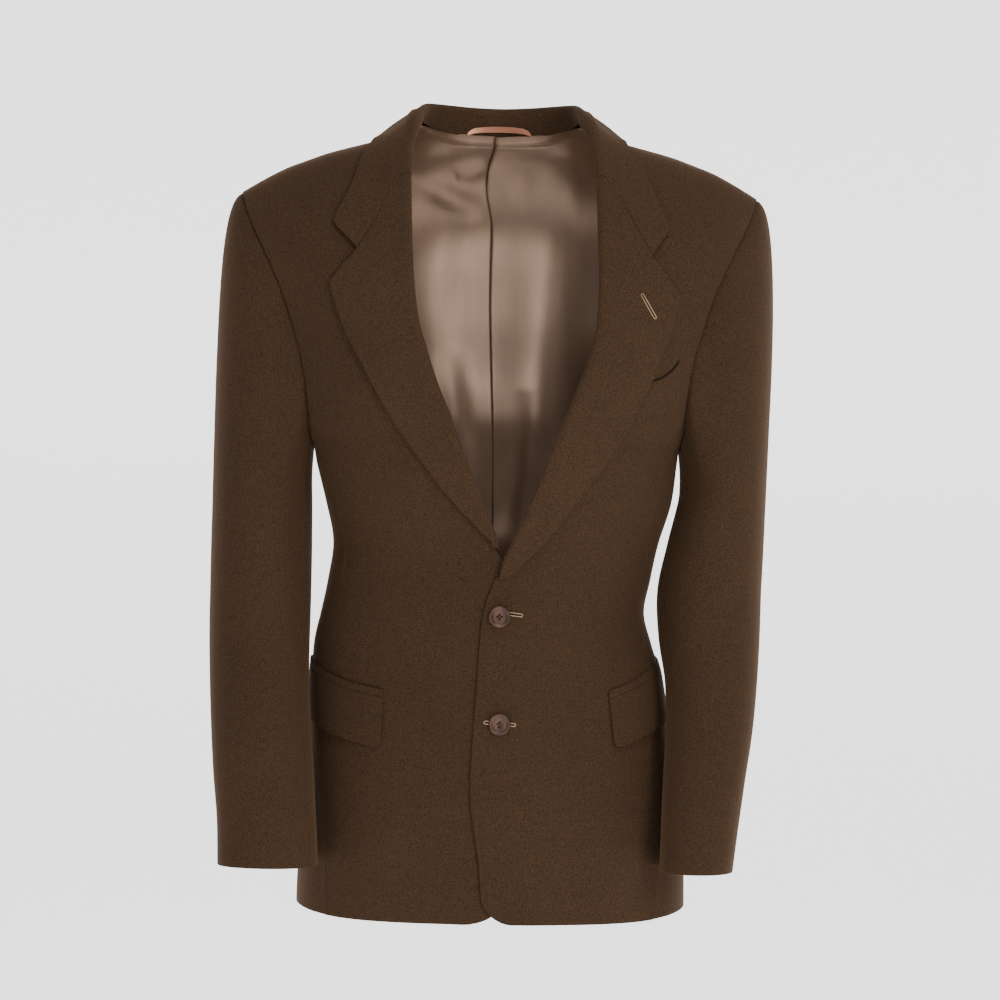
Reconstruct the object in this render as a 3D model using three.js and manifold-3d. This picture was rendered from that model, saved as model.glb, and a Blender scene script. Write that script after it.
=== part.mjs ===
// A men's tailored wool coat of hip length: two buttons, notch lapels, flap pockets.
// It is filled out as if worn and hollow, with every cut piece as its own cloth wall.
// Units are millimetres. The front faces -Y, the wearer's left is +X, and +Z is up.
// The origin is on the centre plane between the shoulders, where a wearer carries it.
import * as THREE from 'three';
import Module from 'manifold-3d';
import { mergeVertices } from 'three/addons/utils/BufferGeometryUtils.js';

const wasm = await Module();
wasm.setup();

// Cloth thicknesses and gaps
const WOOL = 2.0;
const FOLDED_WOOL = 2.2;
const LINING = 1.0;
const GAP = 0.3;

// Heights and general form of the body
const HEM_Z = -721;
const SIDE_HEM_RISE = 7;
const ARMPIT_Z = -280;
const CHEST_Z = -250;
const BREAK_Z = -383;
const RIDGE_Y = 8;
const SECTION_POWER = 2.4;
const SHOULDER_POWER = 3.4;
const SHOULDER_POWER_FROM = -190;
const SHOULDER_POWER_TO = -50;
const FRONT_LEAN = 1.9;
const BACK_LEAN = 2.4;
const NECK_SIDE_X = 78;
const UPPER_START_Z = -215;

// The left front lies over the right front along the closure
const OVERLAP_LIFT = WOOL + 0.6;
const OVERLAP_FULL_X = 28;
const OVERLAP_END_X = 70;
const CORNER_RADIUS_LEFT = 30;
const CORNER_RADIUS_RIGHT = 42;

// The fold of the lapels and collar
const ROLL_INSET = 5.5;
const ROLL_HEIGHT = 5.2;
const OUTER_LIFT = 3.1;

// Side seams, degrees round the body from the centre front
const FRONT_SEAM_HEM = 52;
const BACK_SEAM_HEM = 125;
const FRONT_SEAM_TOP = 66;
const BACK_SEAM_TOP = 112;
const SEAM_TOP_Z = -240;

// Body sections: half widths to the wearer's right and left, depths to front and back
const SECTIONS = [
  { z: -730, right: 184.5, left: 184.5, front: 131, back: 122 },
  { z: -690, right: 183.5, left: 184, front: 130, back: 121 },
  { z: -620, right: 180, left: 178, front: 127, back: 119 },
  { z: -560, right: 175.5, left: 169.2, front: 123, back: 116 },
  { z: -520, right: 173.5, left: 162.6, front: 120, back: 112 },
  { z: -494, right: 172.4, left: 158, front: 117, back: 109 },
  { z: -468, right: 170.5, left: 150, front: 115, back: 106 },
  { z: -440, right: 164.5, left: 142.5, front: 113, back: 102 },
  { z: -408, right: 158, left: 148, front: 112, back: 99 },
  { z: -373, right: 153.5, left: 155.5, front: 114, back: 99 },
  { z: -335, right: 161, left: 167, front: 119, back: 103 },
  { z: -300, right: 170, left: 171.5, front: 126, back: 110 },
  { z: -280, right: 174, left: 174, front: 129, back: 114 },
  { z: -265, right: 184, left: 184, front: 131, back: 116 },
  { z: -236, right: 198, left: 198, front: 133, back: 117 },
  { z: -190, right: 213, left: 213, front: 133, back: 118 },
  { z: -142, right: 226, left: 226, front: 133, back: 118 },
  { z: -98, right: 240, left: 240, front: 133, back: 118 },
  { z: -50, right: 252, left: 252, front: 133, back: 118 },
  { z: 60, right: 278, left: 278, front: 133, back: 118 },
];

// The shoulder line, seen from the front
const SHOULDER_LINE = [
  { x: 0, z: 44 },
  { x: 60, z: 32.5 },
  { x: 78, z: 25 },
  { x: 100, z: 14.5 },
  { x: 115, z: 9 },
  { x: 131, z: 4.5 },
  { x: 160, z: -3 },
  { x: 181, z: -10.5 },
  { x: 201, z: -18 },
  { x: 216, z: -25.5 },
  { x: 230, z: -33.5 },
  { x: 244, z: -42 },
  { x: 262, z: -56 },
  { x: 300, z: -90 },
];

// Armhole edges of the front and back, degrees round the body
const ARMHOLE = [
  { z: -280, front: 90, back: 90 },
  { z: -279, front: 85, back: 95 },
  { z: -276.4, front: 80.5, back: 99.5 },
  { z: -272.3, front: 76, back: 104 },
  { z: -266.5, front: 71.5, back: 108.5 },
  { z: -260, front: 67.5, back: 112 },
  { z: -236, front: 60.9, back: 115.4 },
  { z: -213, front: 58.3, back: 117 },
  { z: -190, front: 57.9, back: 118 },
  { z: -171, front: 58.3, back: 117.9 },
  { z: -143, front: 58.5, back: 117.9 },
  { z: -120, front: 59.4, back: 117.7 },
  { z: -98, front: 61.5, back: 117.3 },
  { z: -75, front: 66.0, back: 114.0 },
  { z: -42, front: 70.3, back: 109.7 },
  { z: -30, front: 71.6, back: 108.4 },
];

// Front edges: the closing edge below the break, the roll line of the lapel above it
const FRONT_LINE = [
  { z: -730, right: 20, left: -8 },
  { z: -690, right: 20, left: -11 },
  { z: -660, right: 20.5, left: -15 },
  { z: -630, right: 21, left: -18 },
  { z: -600, right: 21.5, left: -19.4 },
  { z: -565, right: 22, left: -18.4 },
  { z: -540, right: 22, left: -16.7 },
  { z: -500, right: 22, left: -14.4 },
  { z: -463, right: 22, left: -12.2 },
  { z: -445, right: 22, left: -10.6 },
  { z: -428, right: 22, left: -8 },
  { z: -415, right: 21, left: -2.8 },
  { z: -398, right: 16, left: 4.5 },
  { z: -383, right: 7, left: 10.5 },
  { z: -364, right: 1, left: 18 },
  { z: -350, right: -4.4, left: 24.2 },
  { z: -336, right: -10, left: 31.2 },
  { z: -314, right: -19, left: 38.9 },
  { z: -254, right: -42, left: 63 },
  { z: -234, right: -50, left: 71.2 },
  { z: -215, right: -58, left: 78.5 },
  { z: -200, right: -62.5, left: 84 },
  { z: -180, right: -68.4, left: 88.4 },
  { z: -157, right: -74.2, left: 91.4 },
  { z: -125, right: -77.3, left: 92.1 },
  { z: -97, right: -79, left: 90.8 },
  { z: -60, right: -80.7, left: 89.8 },
  { z: -34, right: -81.5, left: 89.6 },
  { z: -5, right: -81, left: 86 },
  { z: 12, right: -77, left: 80 },
  { z: 25, right: -72.5, left: 72.5 },
];

// The neck edge of the back
const BACK_NECK = [
  { x: 0, z: 17 },
  { x: 25, z: 17.5 },
  { x: 44, z: 18.7 },
  { x: 60, z: 21.5 },
  { x: 78, z: 25 },
];

// Lapels, from the break up: the height on the roll line and a point on the outer edge
const LAPEL_RIGHT = [
  { rollZ: -374, outX: 6.5, outZ: -379.5 },
  { rollZ: -365, outX: -3, outZ: -370.5 },
  { rollZ: -350, outX: -12.6, outZ: -361 },
  { rollZ: -334, outX: -32.1, outZ: -340.8 },
  { rollZ: -314, outX: -50.6, outZ: -319.6 },
  { rollZ: -292, outX: -72, outZ: -291 },
  { rollZ: -271, outX: -93.4, outZ: -260.9 },
  { rollZ: -250, outX: -106.6, outZ: -239.1 },
  { rollZ: -224, outX: -122.9, outZ: -209.5 },
  { rollZ: -193, outX: -139.4, outZ: -177.9 },
  { rollZ: -167, outX: -146.1, outZ: -160.4 },
  { rollZ: -130, outX: -150.6, outZ: -147 },
  { rollZ: -88, outX: -153.1, outZ: -133.3 },
  { rollZ: -55, outX: -142, outZ: -117 },
];
const LAPEL_LEFT = [
  { rollZ: -391, outX: 4.5, outZ: -405 },
  { rollZ: -377, outX: 14, outZ: -402 },
  { rollZ: -362, outX: 34.1, outZ: -382.7 },
  { rollZ: -344, outX: 53.9, outZ: -360.1 },
  { rollZ: -326, outX: 70.8, outZ: -337.5 },
  { rollZ: -304, outX: 88.7, outZ: -313.1 },
  { rollZ: -282, outX: 107.1, outZ: -285.5 },
  { rollZ: -256, outX: 124.5, outZ: -256 },
  { rollZ: -227, outX: 141.6, outZ: -220.6 },
  { rollZ: -201.5, outX: 149.7, outZ: -199.3 },
  { rollZ: -175, outX: 156.9, outZ: -181.6 },
  { rollZ: -133, outX: 163.2, outZ: -156 },
  { rollZ: -92, outX: 165.6, outZ: -140.5 },
  { rollZ: -58, outX: 153.5, outZ: -122.5 },
];

// Gorge seams, where lapel and collar meet, from the roll line to the notch
const GORGE_RIGHT = [
  { x: -81.5, z: -33.5 },
  { x: -96, z: -43.5 },
  { x: -103.2, z: -58 },
  { x: -116.8, z: -83.3 },
  { x: -130.2, z: -102 },
];
const GORGE_LEFT = [
  { x: 89.6, z: -34 },
  { x: 103.5, z: -45 },
  { x: 112.5, z: -59 },
  { x: 127, z: -82.5 },
  { x: 141.2, z: -105.6 },
];

// Collar stations lying on the front, from the gorge up to the shoulder line
const COLLAR_FRONT_RIGHT = [
  { foldZ: -31, height: 5.2, outX: -141.5, outZ: -89.5 },
  { foldZ: -26, height: 5.3, outX: -151.8, outZ: -77.6 },
  { foldZ: -16, height: 5.6, outX: -144.9, outZ: -58.8 },
  { foldZ: -7, height: 6.4, outX: -137.5, outZ: -42.9 },
  { foldZ: 2, height: 7.6, outX: -132.2, outZ: -25 },
  { foldZ: 9.5, height: 9.2, outX: -127, outZ: -10 },
  { foldZ: 16.5, height: 11, outX: -121.6, outZ: 0 },
  { foldZ: 22.5, height: 13, outX: -118.4, outZ: 5.5 },
];
const COLLAR_FRONT_LEFT = [
  { foldZ: -31, height: 5.2, outX: 148.5, outZ: -93.5 },
  { foldZ: -26, height: 5.3, outX: 156.2, outZ: -81.4 },
  { foldZ: -16, height: 5.6, outX: 149.8, outZ: -63 },
  { foldZ: -7, height: 6.4, outX: 142, outZ: -45 },
  { foldZ: 2, height: 7.6, outX: 134.6, outZ: -26 },
  { foldZ: 9.5, height: 9.2, outX: 127, outZ: -10.5 },
  { foldZ: 16.5, height: 11, outX: 120, outZ: -0.5 },
  { foldZ: 22.5, height: 13, outX: 117.4, outZ: 5.5 },
];

// Collar stations round the back of the neck, from the side to the centre
const COLLAR_BACK = [
  { neckX: 76, neckY: 8, neckZ: 27.5, foldX: 75, foldY: 6, foldZ: 40, outX: 116, outZ: 8.4 },
  { neckX: 71, neckY: 28, neckZ: 26, foldX: 70, foldY: 24, foldZ: 45, outX: 111, outZ: 7 },
  { neckX: 62, neckY: 43, neckZ: 23.5, foldX: 62, foldY: 38, foldZ: 46.5, outX: 98, outZ: 4 },
  { neckX: 49, neckY: 54, neckZ: 21, foldX: 48, foldY: 51, foldZ: 46.8, outX: 77, outZ: 2 },
  { neckX: 33, neckY: 61, neckZ: 19.4, foldX: 32, foldY: 60, foldZ: 46.4, outX: 52, outZ: 0.8 },
  { neckX: 17, neckY: 65, neckZ: 18.6, foldX: 16, foldY: 65, foldZ: 46, outX: 26, outZ: 0 },
  { neckX: 0, neckY: 66.5, neckZ: 18.4, foldX: 0, foldY: 66.5, foldZ: 45.8, outX: 0, outZ: -0.5 },
];

// Sleeves: inner and outer edge from the front, centre and half depth from the side
const SLEEVE_RIGHT = [
  { z: -690, inner: 158, outer: 251, centre: -99, depth: 41.5 },
  { z: -671, inner: 158.5, outer: 251.2, centre: -96, depth: 42 },
  { z: -639, inner: 160.8, outer: 252.3, centre: -90, depth: 43.5 },
  { z: -604, inner: 163.5, outer: 256.4, centre: -81, depth: 46 },
  { z: -558, inner: 167.5, outer: 261, centre: -66, depth: 50 },
  { z: -523, inner: 171.5, outer: 263.5, centre: -52, depth: 54 },
  { z: -477, inner: 173, outer: 266.8, centre: -33, depth: 59 },
  { z: -435, inner: 172.8, outer: 268.2, centre: -17, depth: 63 },
  { z: -380, inner: 173.5, outer: 269, centre: -5, depth: 67 },
  { z: -330, inner: 174.5, outer: 268.8, centre: 2, depth: 70 },
  { z: -300, inner: 177, outer: 268, centre: 4, depth: 71 },
];
const SLEEVE_LEFT = [
  { z: -690, inner: 156, outer: 221, centre: -101, depth: 45 },
  { z: -671, inner: 156, outer: 223.2, centre: -98, depth: 45.5 },
  { z: -650, inner: 156.8, outer: 226.3, centre: -94, depth: 46.5 },
  { z: -615, inner: 158, outer: 230.8, centre: -84, depth: 48.5 },
  { z: -587, inner: 159.2, outer: 235.4, centre: -75, depth: 50 },
  { z: -551, inner: 161.5, outer: 241.6, centre: -62, depth: 52.5 },
  { z: -518, inner: 163, outer: 246, centre: -49, depth: 55 },
  { z: -464, inner: 156, outer: 250.4, centre: -27, depth: 61 },
  { z: -435, inner: 153.5, outer: 251.8, centre: -17, depth: 64 },
  { z: -407, inner: 155, outer: 252.8, centre: -10, depth: 66 },
  { z: -376, inner: 162.5, outer: 254.4, centre: -4, depth: 68 },
  { z: -330, inner: 174, outer: 256.4, centre: 2, depth: 71 },
  { z: -300, inner: 177, outer: 257.5, centre: 4, depth: 72 },
];
const SLEEVE_POWER = 2.15;
const SLEEVE_CAP_Z = -330;
const CUFF_Z = -671;
const SLEEVE_GAP = 0.5;
const INSEAM = 0.415;
const ELBOW_SEAM = 0.68;

const SLEEVE_ROWS = [
  0, 0.05, 0.12, 0.21, 0.33, 0.48, 0.66, 0.84, 1,
  1.12, 1.25, 1.38, 1.5, 1.63, 1.76, 1.88, 2,
];
const TOP_SLEEVE_COLUMNS = [
  ELBOW_SEAM - 1, -0.26, -0.2, -0.145, -0.1, -0.065, -0.038, -0.017, 0,
  0.017, 0.038, 0.065, 0.1, 0.145, 0.2, 0.25, 0.3, 0.355, INSEAM,
];
const UNDER_SLEEVE_COLUMNS = [INSEAM, 0.46, 0.5, 0.54, 0.585, 0.63, ELBOW_SEAM];
const SLEEVE_TRIM = 0.0011;
const CAP_DROOP_TOP = 26;
const CAP_DROOP_BOTTOM = 90;
const CAP_SWELL_TOP = 27;
const CAP_SWELL_BOTTOM = 14;
const CAP_DRAW = 0.42;

// The section across a fold: out from the roll line and up from the panel below
const FOLD_PROFILE = [
  { out: 3.75, up: -1.0 },
  { out: 2.7, up: -0.6 },
  { out: 1.5, up: 0.8 },
  { out: 1.2, up: 2.6 },
  { out: 2.3, up: 4.3 },
  { out: 5.0, up: 5.2 },
];
const FALL_PARTS = [0.18, 0.38, 0.6, 0.8, 1];
const LAPEL_END_HEIGHT = 3.2;
const GORGE_SHIFT = 0.34;
const COLLAR_BOW = 3;

// The fold line of the lining's centre pleat
const PLEAT_LINE = [
  { z: -730, x: -2 },
  { z: -308, x: -3 },
  { z: -109, x: -8.6 },
  { z: -77, x: -7.2 },
  { z: -47, x: -8.5 },
  { z: -38, x: -11 },
  { z: -21, x: -14 },
  { z: -6, x: -11.5 },
  { z: 10, x: -6 },
  { z: 30, x: -4.5 },
];
const PLEAT_DEPTH = 3;
const LINING_LIFT = -2.9;
const LINING_HEM_ROW = 2;
const LINING_COLUMNS = [0, 2, 3, 4, 5, 6, 8, 10];

// Pocket flaps: the height of the top edge at angles round the body
const FLAP_RIGHT = [
  { angle: 31.5, top: -516.2 },
  { angle: 47, top: -509.8 },
  { angle: 60, top: -503 },
  { angle: 70, top: -497.5 },
  { angle: 92, top: -490 },
];
const FLAP_LEFT = [
  { angle: 37.6, top: -515.3 },
  { angle: 52, top: -505.7 },
  { angle: 65.6, top: -497.4 },
  { angle: 97, top: -487 },
];
const FLAP_HEIGHT = 46;
const FLAP_CORNER = 9;
const FLAP_LIFT = 0.5;
const FLAP_THICK = 1.7;
const FLAP_FLARE = 0.8;
const POCKET_WELT_HEIGHT = 7;
const POCKET_WELT_LIFT = 0.55;
const POCKET_WELT_THICK = 1.6;
const POCKET_PARTS = [0, 0.012, 0.035, 0.075, 0.15, 0.28, 0.42, 0.57, 0.72, 0.86, 0.96, 1];

// The breast pocket's welt, from the lapel's edge outwards: its upper and lower edges
const BREAST_WELT = [
  { topX: 142.8, topZ: -221.8, lowX: 125.7, lowZ: -256.9 },
  { topX: 147.4, topZ: -220.3, lowX: 133, lowZ: -254.5 },
  { topX: 152, topZ: -218.4, lowX: 141, lowZ: -252 },
  { topX: 157, topZ: -214.9, lowX: 149, lowZ: -249.8 },
  { topX: 161.7, topZ: -210.8, lowX: 156, lowZ: -248 },
  { topX: 165.4, topZ: -206.6, lowX: 162, lowZ: -246 },
  { topX: 168.5, topZ: -202.2, lowX: 166.8, lowZ: -244 },
];
const BREAST_WELT_LIFT = 0.5;
const BREAST_WELT_THICK = 1.2;

// The hanger loop inside the back neck
const LOOP = [
  { x: 0, top: 28.9, bottom: 23.4 },
  { x: 12, top: 28.4, bottom: 22.9 },
  { x: 23, top: 27, bottom: 21.6 },
  { x: 28, top: 24.6, bottom: 20.2 },
  { x: 31, top: 21.2, bottom: 19 },
];
const LOOP_CENTRE_X = -1.5;
const LOOP_Y = 62.6;
const LOOP_SAG = 4.6;
const LOOP_THICK = 1.3;

// Buttons
const BUTTON_SEGMENTS = 32;
const BUTTON_LIFT = 0.45;
const BUTTON_PROFILE = [
  { radius: 0, height: 0 },
  { radius: 9, height: 0 },
  { radius: 10, height: 0.9 },
  { radius: 10, height: 2.3 },
  { radius: 9.2, height: 3.2 },
  { radius: 7.8, height: 3.2 },
  { radius: 6.6, height: 2.2 },
  { radius: 0, height: 1.9 },
];
const HOLE_RADIUS = 1.05;
const HOLE_OFFSET = 2.0;
const HOLE_SEGMENTS = 10;
const BUTTONS = [
  { name: 'button_upper', x: 5.3, z: -440, turn: 20 },
  { name: 'button_lower', x: 6.7, z: -538.4, turn: 42 },
];

// Colours
const WOOL_COLOUR = 0x46321f;
const WOOL_FOLD_COLOUR = 0x4c3722;
const SATIN_COLOUR = 0x6d5a4a;
const LOOP_COLOUR = 0xa9755c;
const BUTTON_COLOUR = 0x6f4334;

const radians = THREE.MathUtils.degToRad;
const lerp = THREE.MathUtils.lerp;
const clamp = THREE.MathUtils.clamp;

function smooth(low, high, value) {
  const t = clamp((value - low) / (high - low), 0, 1);
  return t * t * (3 - 2 * t);
}

// A smooth curve through a table's rows that never swings past them
function curve(rows, key, column) {
  const sorted = [...rows].sort((a, b) => a[key] - b[key]);
  const at = sorted.map((row) => row[key]);
  const value = sorted.map((row) => row[column]);
  const last = at.length - 1;
  const slope = [];
  for (let i = 0; i < last; i += 1) {
    slope.push((value[i + 1] - value[i]) / (at[i + 1] - at[i]));
  }
  const tangent = value.map((_, i) => {
    if (i === 0) return slope[0];
    if (i === last) return slope[last - 1];
    if (slope[i - 1] * slope[i] <= 0) return 0;
    return (2 * slope[i - 1] * slope[i]) / (slope[i - 1] + slope[i]);
  });
  return (x) => {
    const p = clamp(x, at[0], at[last]);
    let i = 0;
    while (i < last - 1 && p > at[i + 1]) i += 1;
    const span = at[i + 1] - at[i];
    const t = (p - at[i]) / span;
    const a = value[i] + span * tangent[i] * t * (1 - t) * (1 - t);
    const b = value[i + 1] - span * tangent[i + 1] * t * t * (1 - t);
    const blend = t * t * (3 - 2 * t);
    return a * (1 - t) + b * t + (value[i + 1] - value[i]) * (blend - t);
  };
}

const halfRight = curve(SECTIONS, 'z', 'right');
const halfLeft = curve(SECTIONS, 'z', 'left');
const frontDepth = curve(SECTIONS, 'z', 'front');
const backDepth = curve(SECTIONS, 'z', 'back');
const shoulderHeight = curve(SHOULDER_LINE, 'x', 'z');
const armholeFront = curve(ARMHOLE, 'z', 'front');
const armholeBack = curve(ARMHOLE, 'z', 'back');
const edgeRight = curve(FRONT_LINE, 'z', 'right');
const edgeLeft = curve(FRONT_LINE, 'z', 'left');
const backNeck = curve(BACK_NECK, 'x', 'z');
const pleatLine = curve(PLEAT_LINE, 'z', 'x');

// The body's outer surface

function halfWidth(side, z) {
  return side < 0 ? halfRight(z) : halfLeft(z);
}

// How square the section is: rounder at the waist, squarer at the padded shoulders
function sectionPower(z) {
  return lerp(SECTION_POWER, SHOULDER_POWER, smooth(SHOULDER_POWER_FROM, SHOULDER_POWER_TO, z));
}

// A point on the body: the angle runs from the centre front, plus towards the wearer's left
function bodyPoint(angle, z) {
  const side = Math.sin(angle) < 0 ? -1 : 1;
  const power = sectionPower(z);
  const across = Math.abs(Math.sin(angle)) ** (2 / power);
  const along = Math.abs(Math.cos(angle)) ** (2 / power);
  const isFront = Math.cos(angle) > 0;
  const x = side * halfWidth(side, z) * across;
  const top = shoulderHeight(Math.abs(x));
  const fall = clamp((top - z) / (top - CHEST_Z), 0, 1);
  const lean = isFront ? FRONT_LEAN : BACK_LEAN;
  const fullness = (1 - (1 - fall) ** lean) ** (1 / lean);
  const depth = isFront ? -frontDepth(z) : backDepth(z);
  return new THREE.Vector3(x, RIDGE_Y + depth * along * fullness, z);
}

function bodyNormal(angle, z) {
  const turn = 0.003;
  const x = Math.abs(bodyPoint(angle, z).x);
  const up = Math.min(z + 0.5, shoulderHeight(x) - 0.05);
  const across = bodyPoint(angle + turn, z).sub(bodyPoint(angle - turn, z));
  const along = bodyPoint(angle, up).sub(bodyPoint(angle, up - 1));
  return across.cross(along).normalize();
}

// The angle of a point that is x from the centre plane, on the front
function angleAt(x, z) {
  const side = x < 0 ? -1 : 1;
  const ratio = clamp(Math.abs(x) / halfWidth(side, z), 0, 1);
  return side * Math.asin(ratio ** (sectionPower(z) / 2));
}

// The lift of a front panel that lies over the other
function overlapLift(side, x) {
  if (side < 0) return 0;
  return OVERLAP_LIFT * (1 - smooth(OVERLAP_FULL_X, OVERLAP_END_X, x));
}

// A point lifted off a front panel, from its place seen from the front
function onFront(side, x, z, lift) {
  const height = Math.min(z, shoulderHeight(Math.abs(x)) - 0.05);
  const angle = angleAt(x, height);
  const normal = bodyNormal(angle, height);
  return bodyPoint(angle, height).addScaledVector(normal, lift + overlapLift(side, x));
}

// Cloth walls

// The normals of a grid of points
function gridNormals(grid) {
  return grid.map((row, i) => row.map((_, j) => {
    const up = grid[Math.min(i + 1, grid.length - 1)][j];
    const down = grid[Math.max(i - 1, 0)][j];
    const next = row[Math.min(j + 1, row.length - 1)];
    const before = row[Math.max(j - 1, 0)];
    const across = next.clone().sub(before);
    const along = up.clone().sub(down);
    return across.cross(along).normalize();
  }));
}

function offsetGrid(grid, normals, distance) {
  return grid.map((row, i) => row.map((point, j) => (
    point.clone().addScaledVector(normals[i][j], distance))));
}

// A closed wall between two grids of the same size
function wallGeometry(outer, inner) {
  const rows = outer.length;
  const columns = outer[0].length;
  const positions = [];
  [outer, inner].forEach((grid) => grid.forEach((row) => row.forEach((point) => {
    positions.push(point.x, point.y, point.z);
  })));
  const index = [];
  const at = (layer, i, j) => layer * rows * columns + i * columns + j;
  const quad = (a, b, c, d) => index.push(a, b, c, a, c, d);
  for (let i = 0; i < rows - 1; i += 1) {
    for (let j = 0; j < columns - 1; j += 1) {
      quad(at(0, i, j), at(0, i, j + 1), at(0, i + 1, j + 1), at(0, i + 1, j));
      quad(at(1, i, j), at(1, i + 1, j), at(1, i + 1, j + 1), at(1, i, j + 1));
    }
  }
  for (let j = 0; j < columns - 1; j += 1) {
    quad(at(0, 0, j), at(1, 0, j), at(1, 0, j + 1), at(0, 0, j + 1));
    quad(at(0, rows - 1, j), at(0, rows - 1, j + 1), at(1, rows - 1, j + 1), at(1, rows - 1, j));
  }
  for (let i = 0; i < rows - 1; i += 1) {
    quad(at(0, i, 0), at(0, i + 1, 0), at(1, i + 1, 0), at(1, i, 0));
    quad(at(0, i, columns - 1), at(1, i, columns - 1), at(1, i + 1, columns - 1),
      at(0, i + 1, columns - 1));
  }
  return faceOutward(positions, index);
}

// Turns every face round when the closed body's volume comes out negative
function faceOutward(positions, index) {
  const corner = (k) => new THREE.Vector3().fromArray(positions, index[k] * 3);
  let volume = 0;
  for (let k = 0; k < index.length; k += 3) {
    volume += corner(k).dot(corner(k + 1).cross(corner(k + 2)));
  }
  if (volume < 0) {
    for (let k = 0; k < index.length; k += 3) {
      [index[k + 1], index[k + 2]] = [index[k + 2], index[k + 1]];
    }
  }
  const geometry = new THREE.BufferGeometry();
  geometry.setAttribute('position', new THREE.Float32BufferAttribute(positions, 3));
  geometry.setIndex(index);
  geometry.computeVertexNormals();
  return geometry;
}

const coat = new THREE.Group();

function add(name, geometry, colour, roughness) {
  const material = new THREE.MeshStandardMaterial({ color: colour, roughness, metalness: 0 });
  const mesh = new THREE.Mesh(geometry, material);
  mesh.name = name;
  coat.add(mesh);
}

function addCloth(name, outer, inner, colour = WOOL_COLOUR, roughness = 0.95) {
  add(name, wallGeometry(outer, inner), colour, roughness);
}

// Panels of the body

const BODY_LEVELS = [
  HEM_Z, -709, -690, -655, -605, -555, -515, -490, -465, -438, -408, -373, -335,
  -300, -277, -259, -238, UPPER_START_Z,
];
const SIDE_SPLIT_Z = -300;
const UPPER_PARTS = [0.17, 0.34, 0.51, 0.67, 0.81, 0.91, 0.972, 1];

const panelRows = [
  ...BODY_LEVELS.map((level) => () => level),
  ...UPPER_PARTS.map((part) => (top) => lerp(UPPER_START_Z, top, part)),
];

function hemRise(angle) {
  return SIDE_HEM_RISE * Math.abs(Math.sin(angle)) ** 6;
}

// Raises the lowest rows to follow the hem and a rounded front corner
function withHem(z, rise) {
  return z + rise * (1 - smooth(HEM_Z + 20, HEM_Z + 150, z));
}

// Points spread along one row of a panel, by length
function spread(from, to, fractions, place, startGap, endGap) {
  const samples = 72;
  const points = [];
  for (let k = 0; k <= samples; k += 1) {
    points.push(place(lerp(from, to, k / samples)));
  }
  const run = [0];
  for (let k = 1; k <= samples; k += 1) {
    run.push(run[k - 1] + points[k].point.distanceTo(points[k - 1].point));
  }
  const total = run[samples];
  return fractions.map((fraction) => {
    const want = lerp(startGap, total - endGap, fraction);
    let k = 1;
    while (k < samples && run[k] < want) k += 1;
    const t = clamp((want - run[k - 1]) / (run[k] - run[k - 1]), 0, 1);
    return place(lerp(from, to, (k - 1 + t) / samples));
  });
}

// One panel between two edges, each an angle that depends on height
function panel(options) {
  const { inner, outer, topAt, fractions, rise, lift, startGap, endGap } = options;
  const outerGrid = [];
  const normals = [];
  panelRows.forEach((rowHeight, rowIndex) => {
    const isTop = rowIndex === panelRows.length - 1;
    const heightAt = (angle) => {
      let z = rowHeight(0);
      for (let k = 0; k < 8; k += 1) {
        const x = Math.abs(bodyPoint(angle, z).x);
        z = rowHeight(topAt(x));
      }
      return z;
    };
    const edge = (line) => {
      let angle = line(rowHeight(0));
      for (let k = 0; k < 14; k += 1) angle = line(heightAt(angle));
      return angle;
    };
    const place = (angle) => {
      const level = heightAt(angle);
      const z = withHem(level, rise(angle, level));
      const ridge = isTop && Math.abs(bodyPoint(angle, z).x) > NECK_SIDE_X - 1;
      const normal = bodyNormal(angle, z);
      if (ridge) normal.setY(0).normalize();
      const point = bodyPoint(angle, z);
      point.addScaledVector(normal, lift(point.x));
      if (ridge) point.y += Math.cos(angle) > 0 ? -GAP / 2 : GAP / 2;
      return { point, normal };
    };
    const row = spread(edge(inner), edge(outer), fractions, place, startGap, endGap);
    outerGrid.push(row.map((item) => item.point));
    normals.push(row.map((item) => item.normal));
  });
  return { outer: outerGrid, normals };
}

// Side seams below the armhole, and the whole side edge of the front and back
function frontSideSeam(z) {
  const t = clamp((z - HEM_Z) / (-258 - HEM_Z), 0, 1);
  return radians(lerp(FRONT_SEAM_HEM, FRONT_SEAM_TOP, t));
}

function backSideSeam(z) {
  const t = clamp((z - HEM_Z) / (-260 - HEM_Z), 0, 1);
  return radians(lerp(BACK_SEAM_HEM, BACK_SEAM_TOP, t));
}

function frontOuterEdge(z) {
  const hole = radians(armholeFront(z));
  return z > SEAM_TOP_Z ? hole : Math.min(frontSideSeam(z), hole);
}

function backOuterEdge(z) {
  const hole = radians(armholeBack(z));
  return z > SEAM_TOP_Z ? hole : Math.max(backSideSeam(z), hole);
}

const FRONT_FRACTIONS = [0, 0.012, 0.035, 0.075, 0.13, 0.21, 0.3, 0.4, 0.51, 0.62, 0.73, 0.83, 0.92, 1];
const BACK_FRACTIONS = [0, 0.08, 0.17, 0.27, 0.37, 0.48, 0.59, 0.7, 0.8, 0.9, 1];
const SIDE_FRACTIONS = [0, 0.16, 0.33, 0.5, 0.67, 0.84, 1];
const SIDE_LEVELS = BODY_LEVELS.filter((level) => level <= SIDE_SPLIT_Z);
const SIDE_ROWS = [
  ...SIDE_LEVELS.map((level) => () => level),
  ...[0.565, 1].map((part) => (top) => lerp(SIDE_SPLIT_Z, top, part)),
];
const SIDE_TRIM = 0.0032;

function rollInset(z) {
  return ROLL_INSET * smooth(BREAK_Z - 9, BREAK_Z + 7, z);
}

// The edge of a front panel, set back under the fold where the lapel turns
function frontEdgeX(side, z) {
  const line = side < 0 ? edgeRight(z) : edgeLeft(z);
  return line + side * rollInset(z);
}

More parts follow.
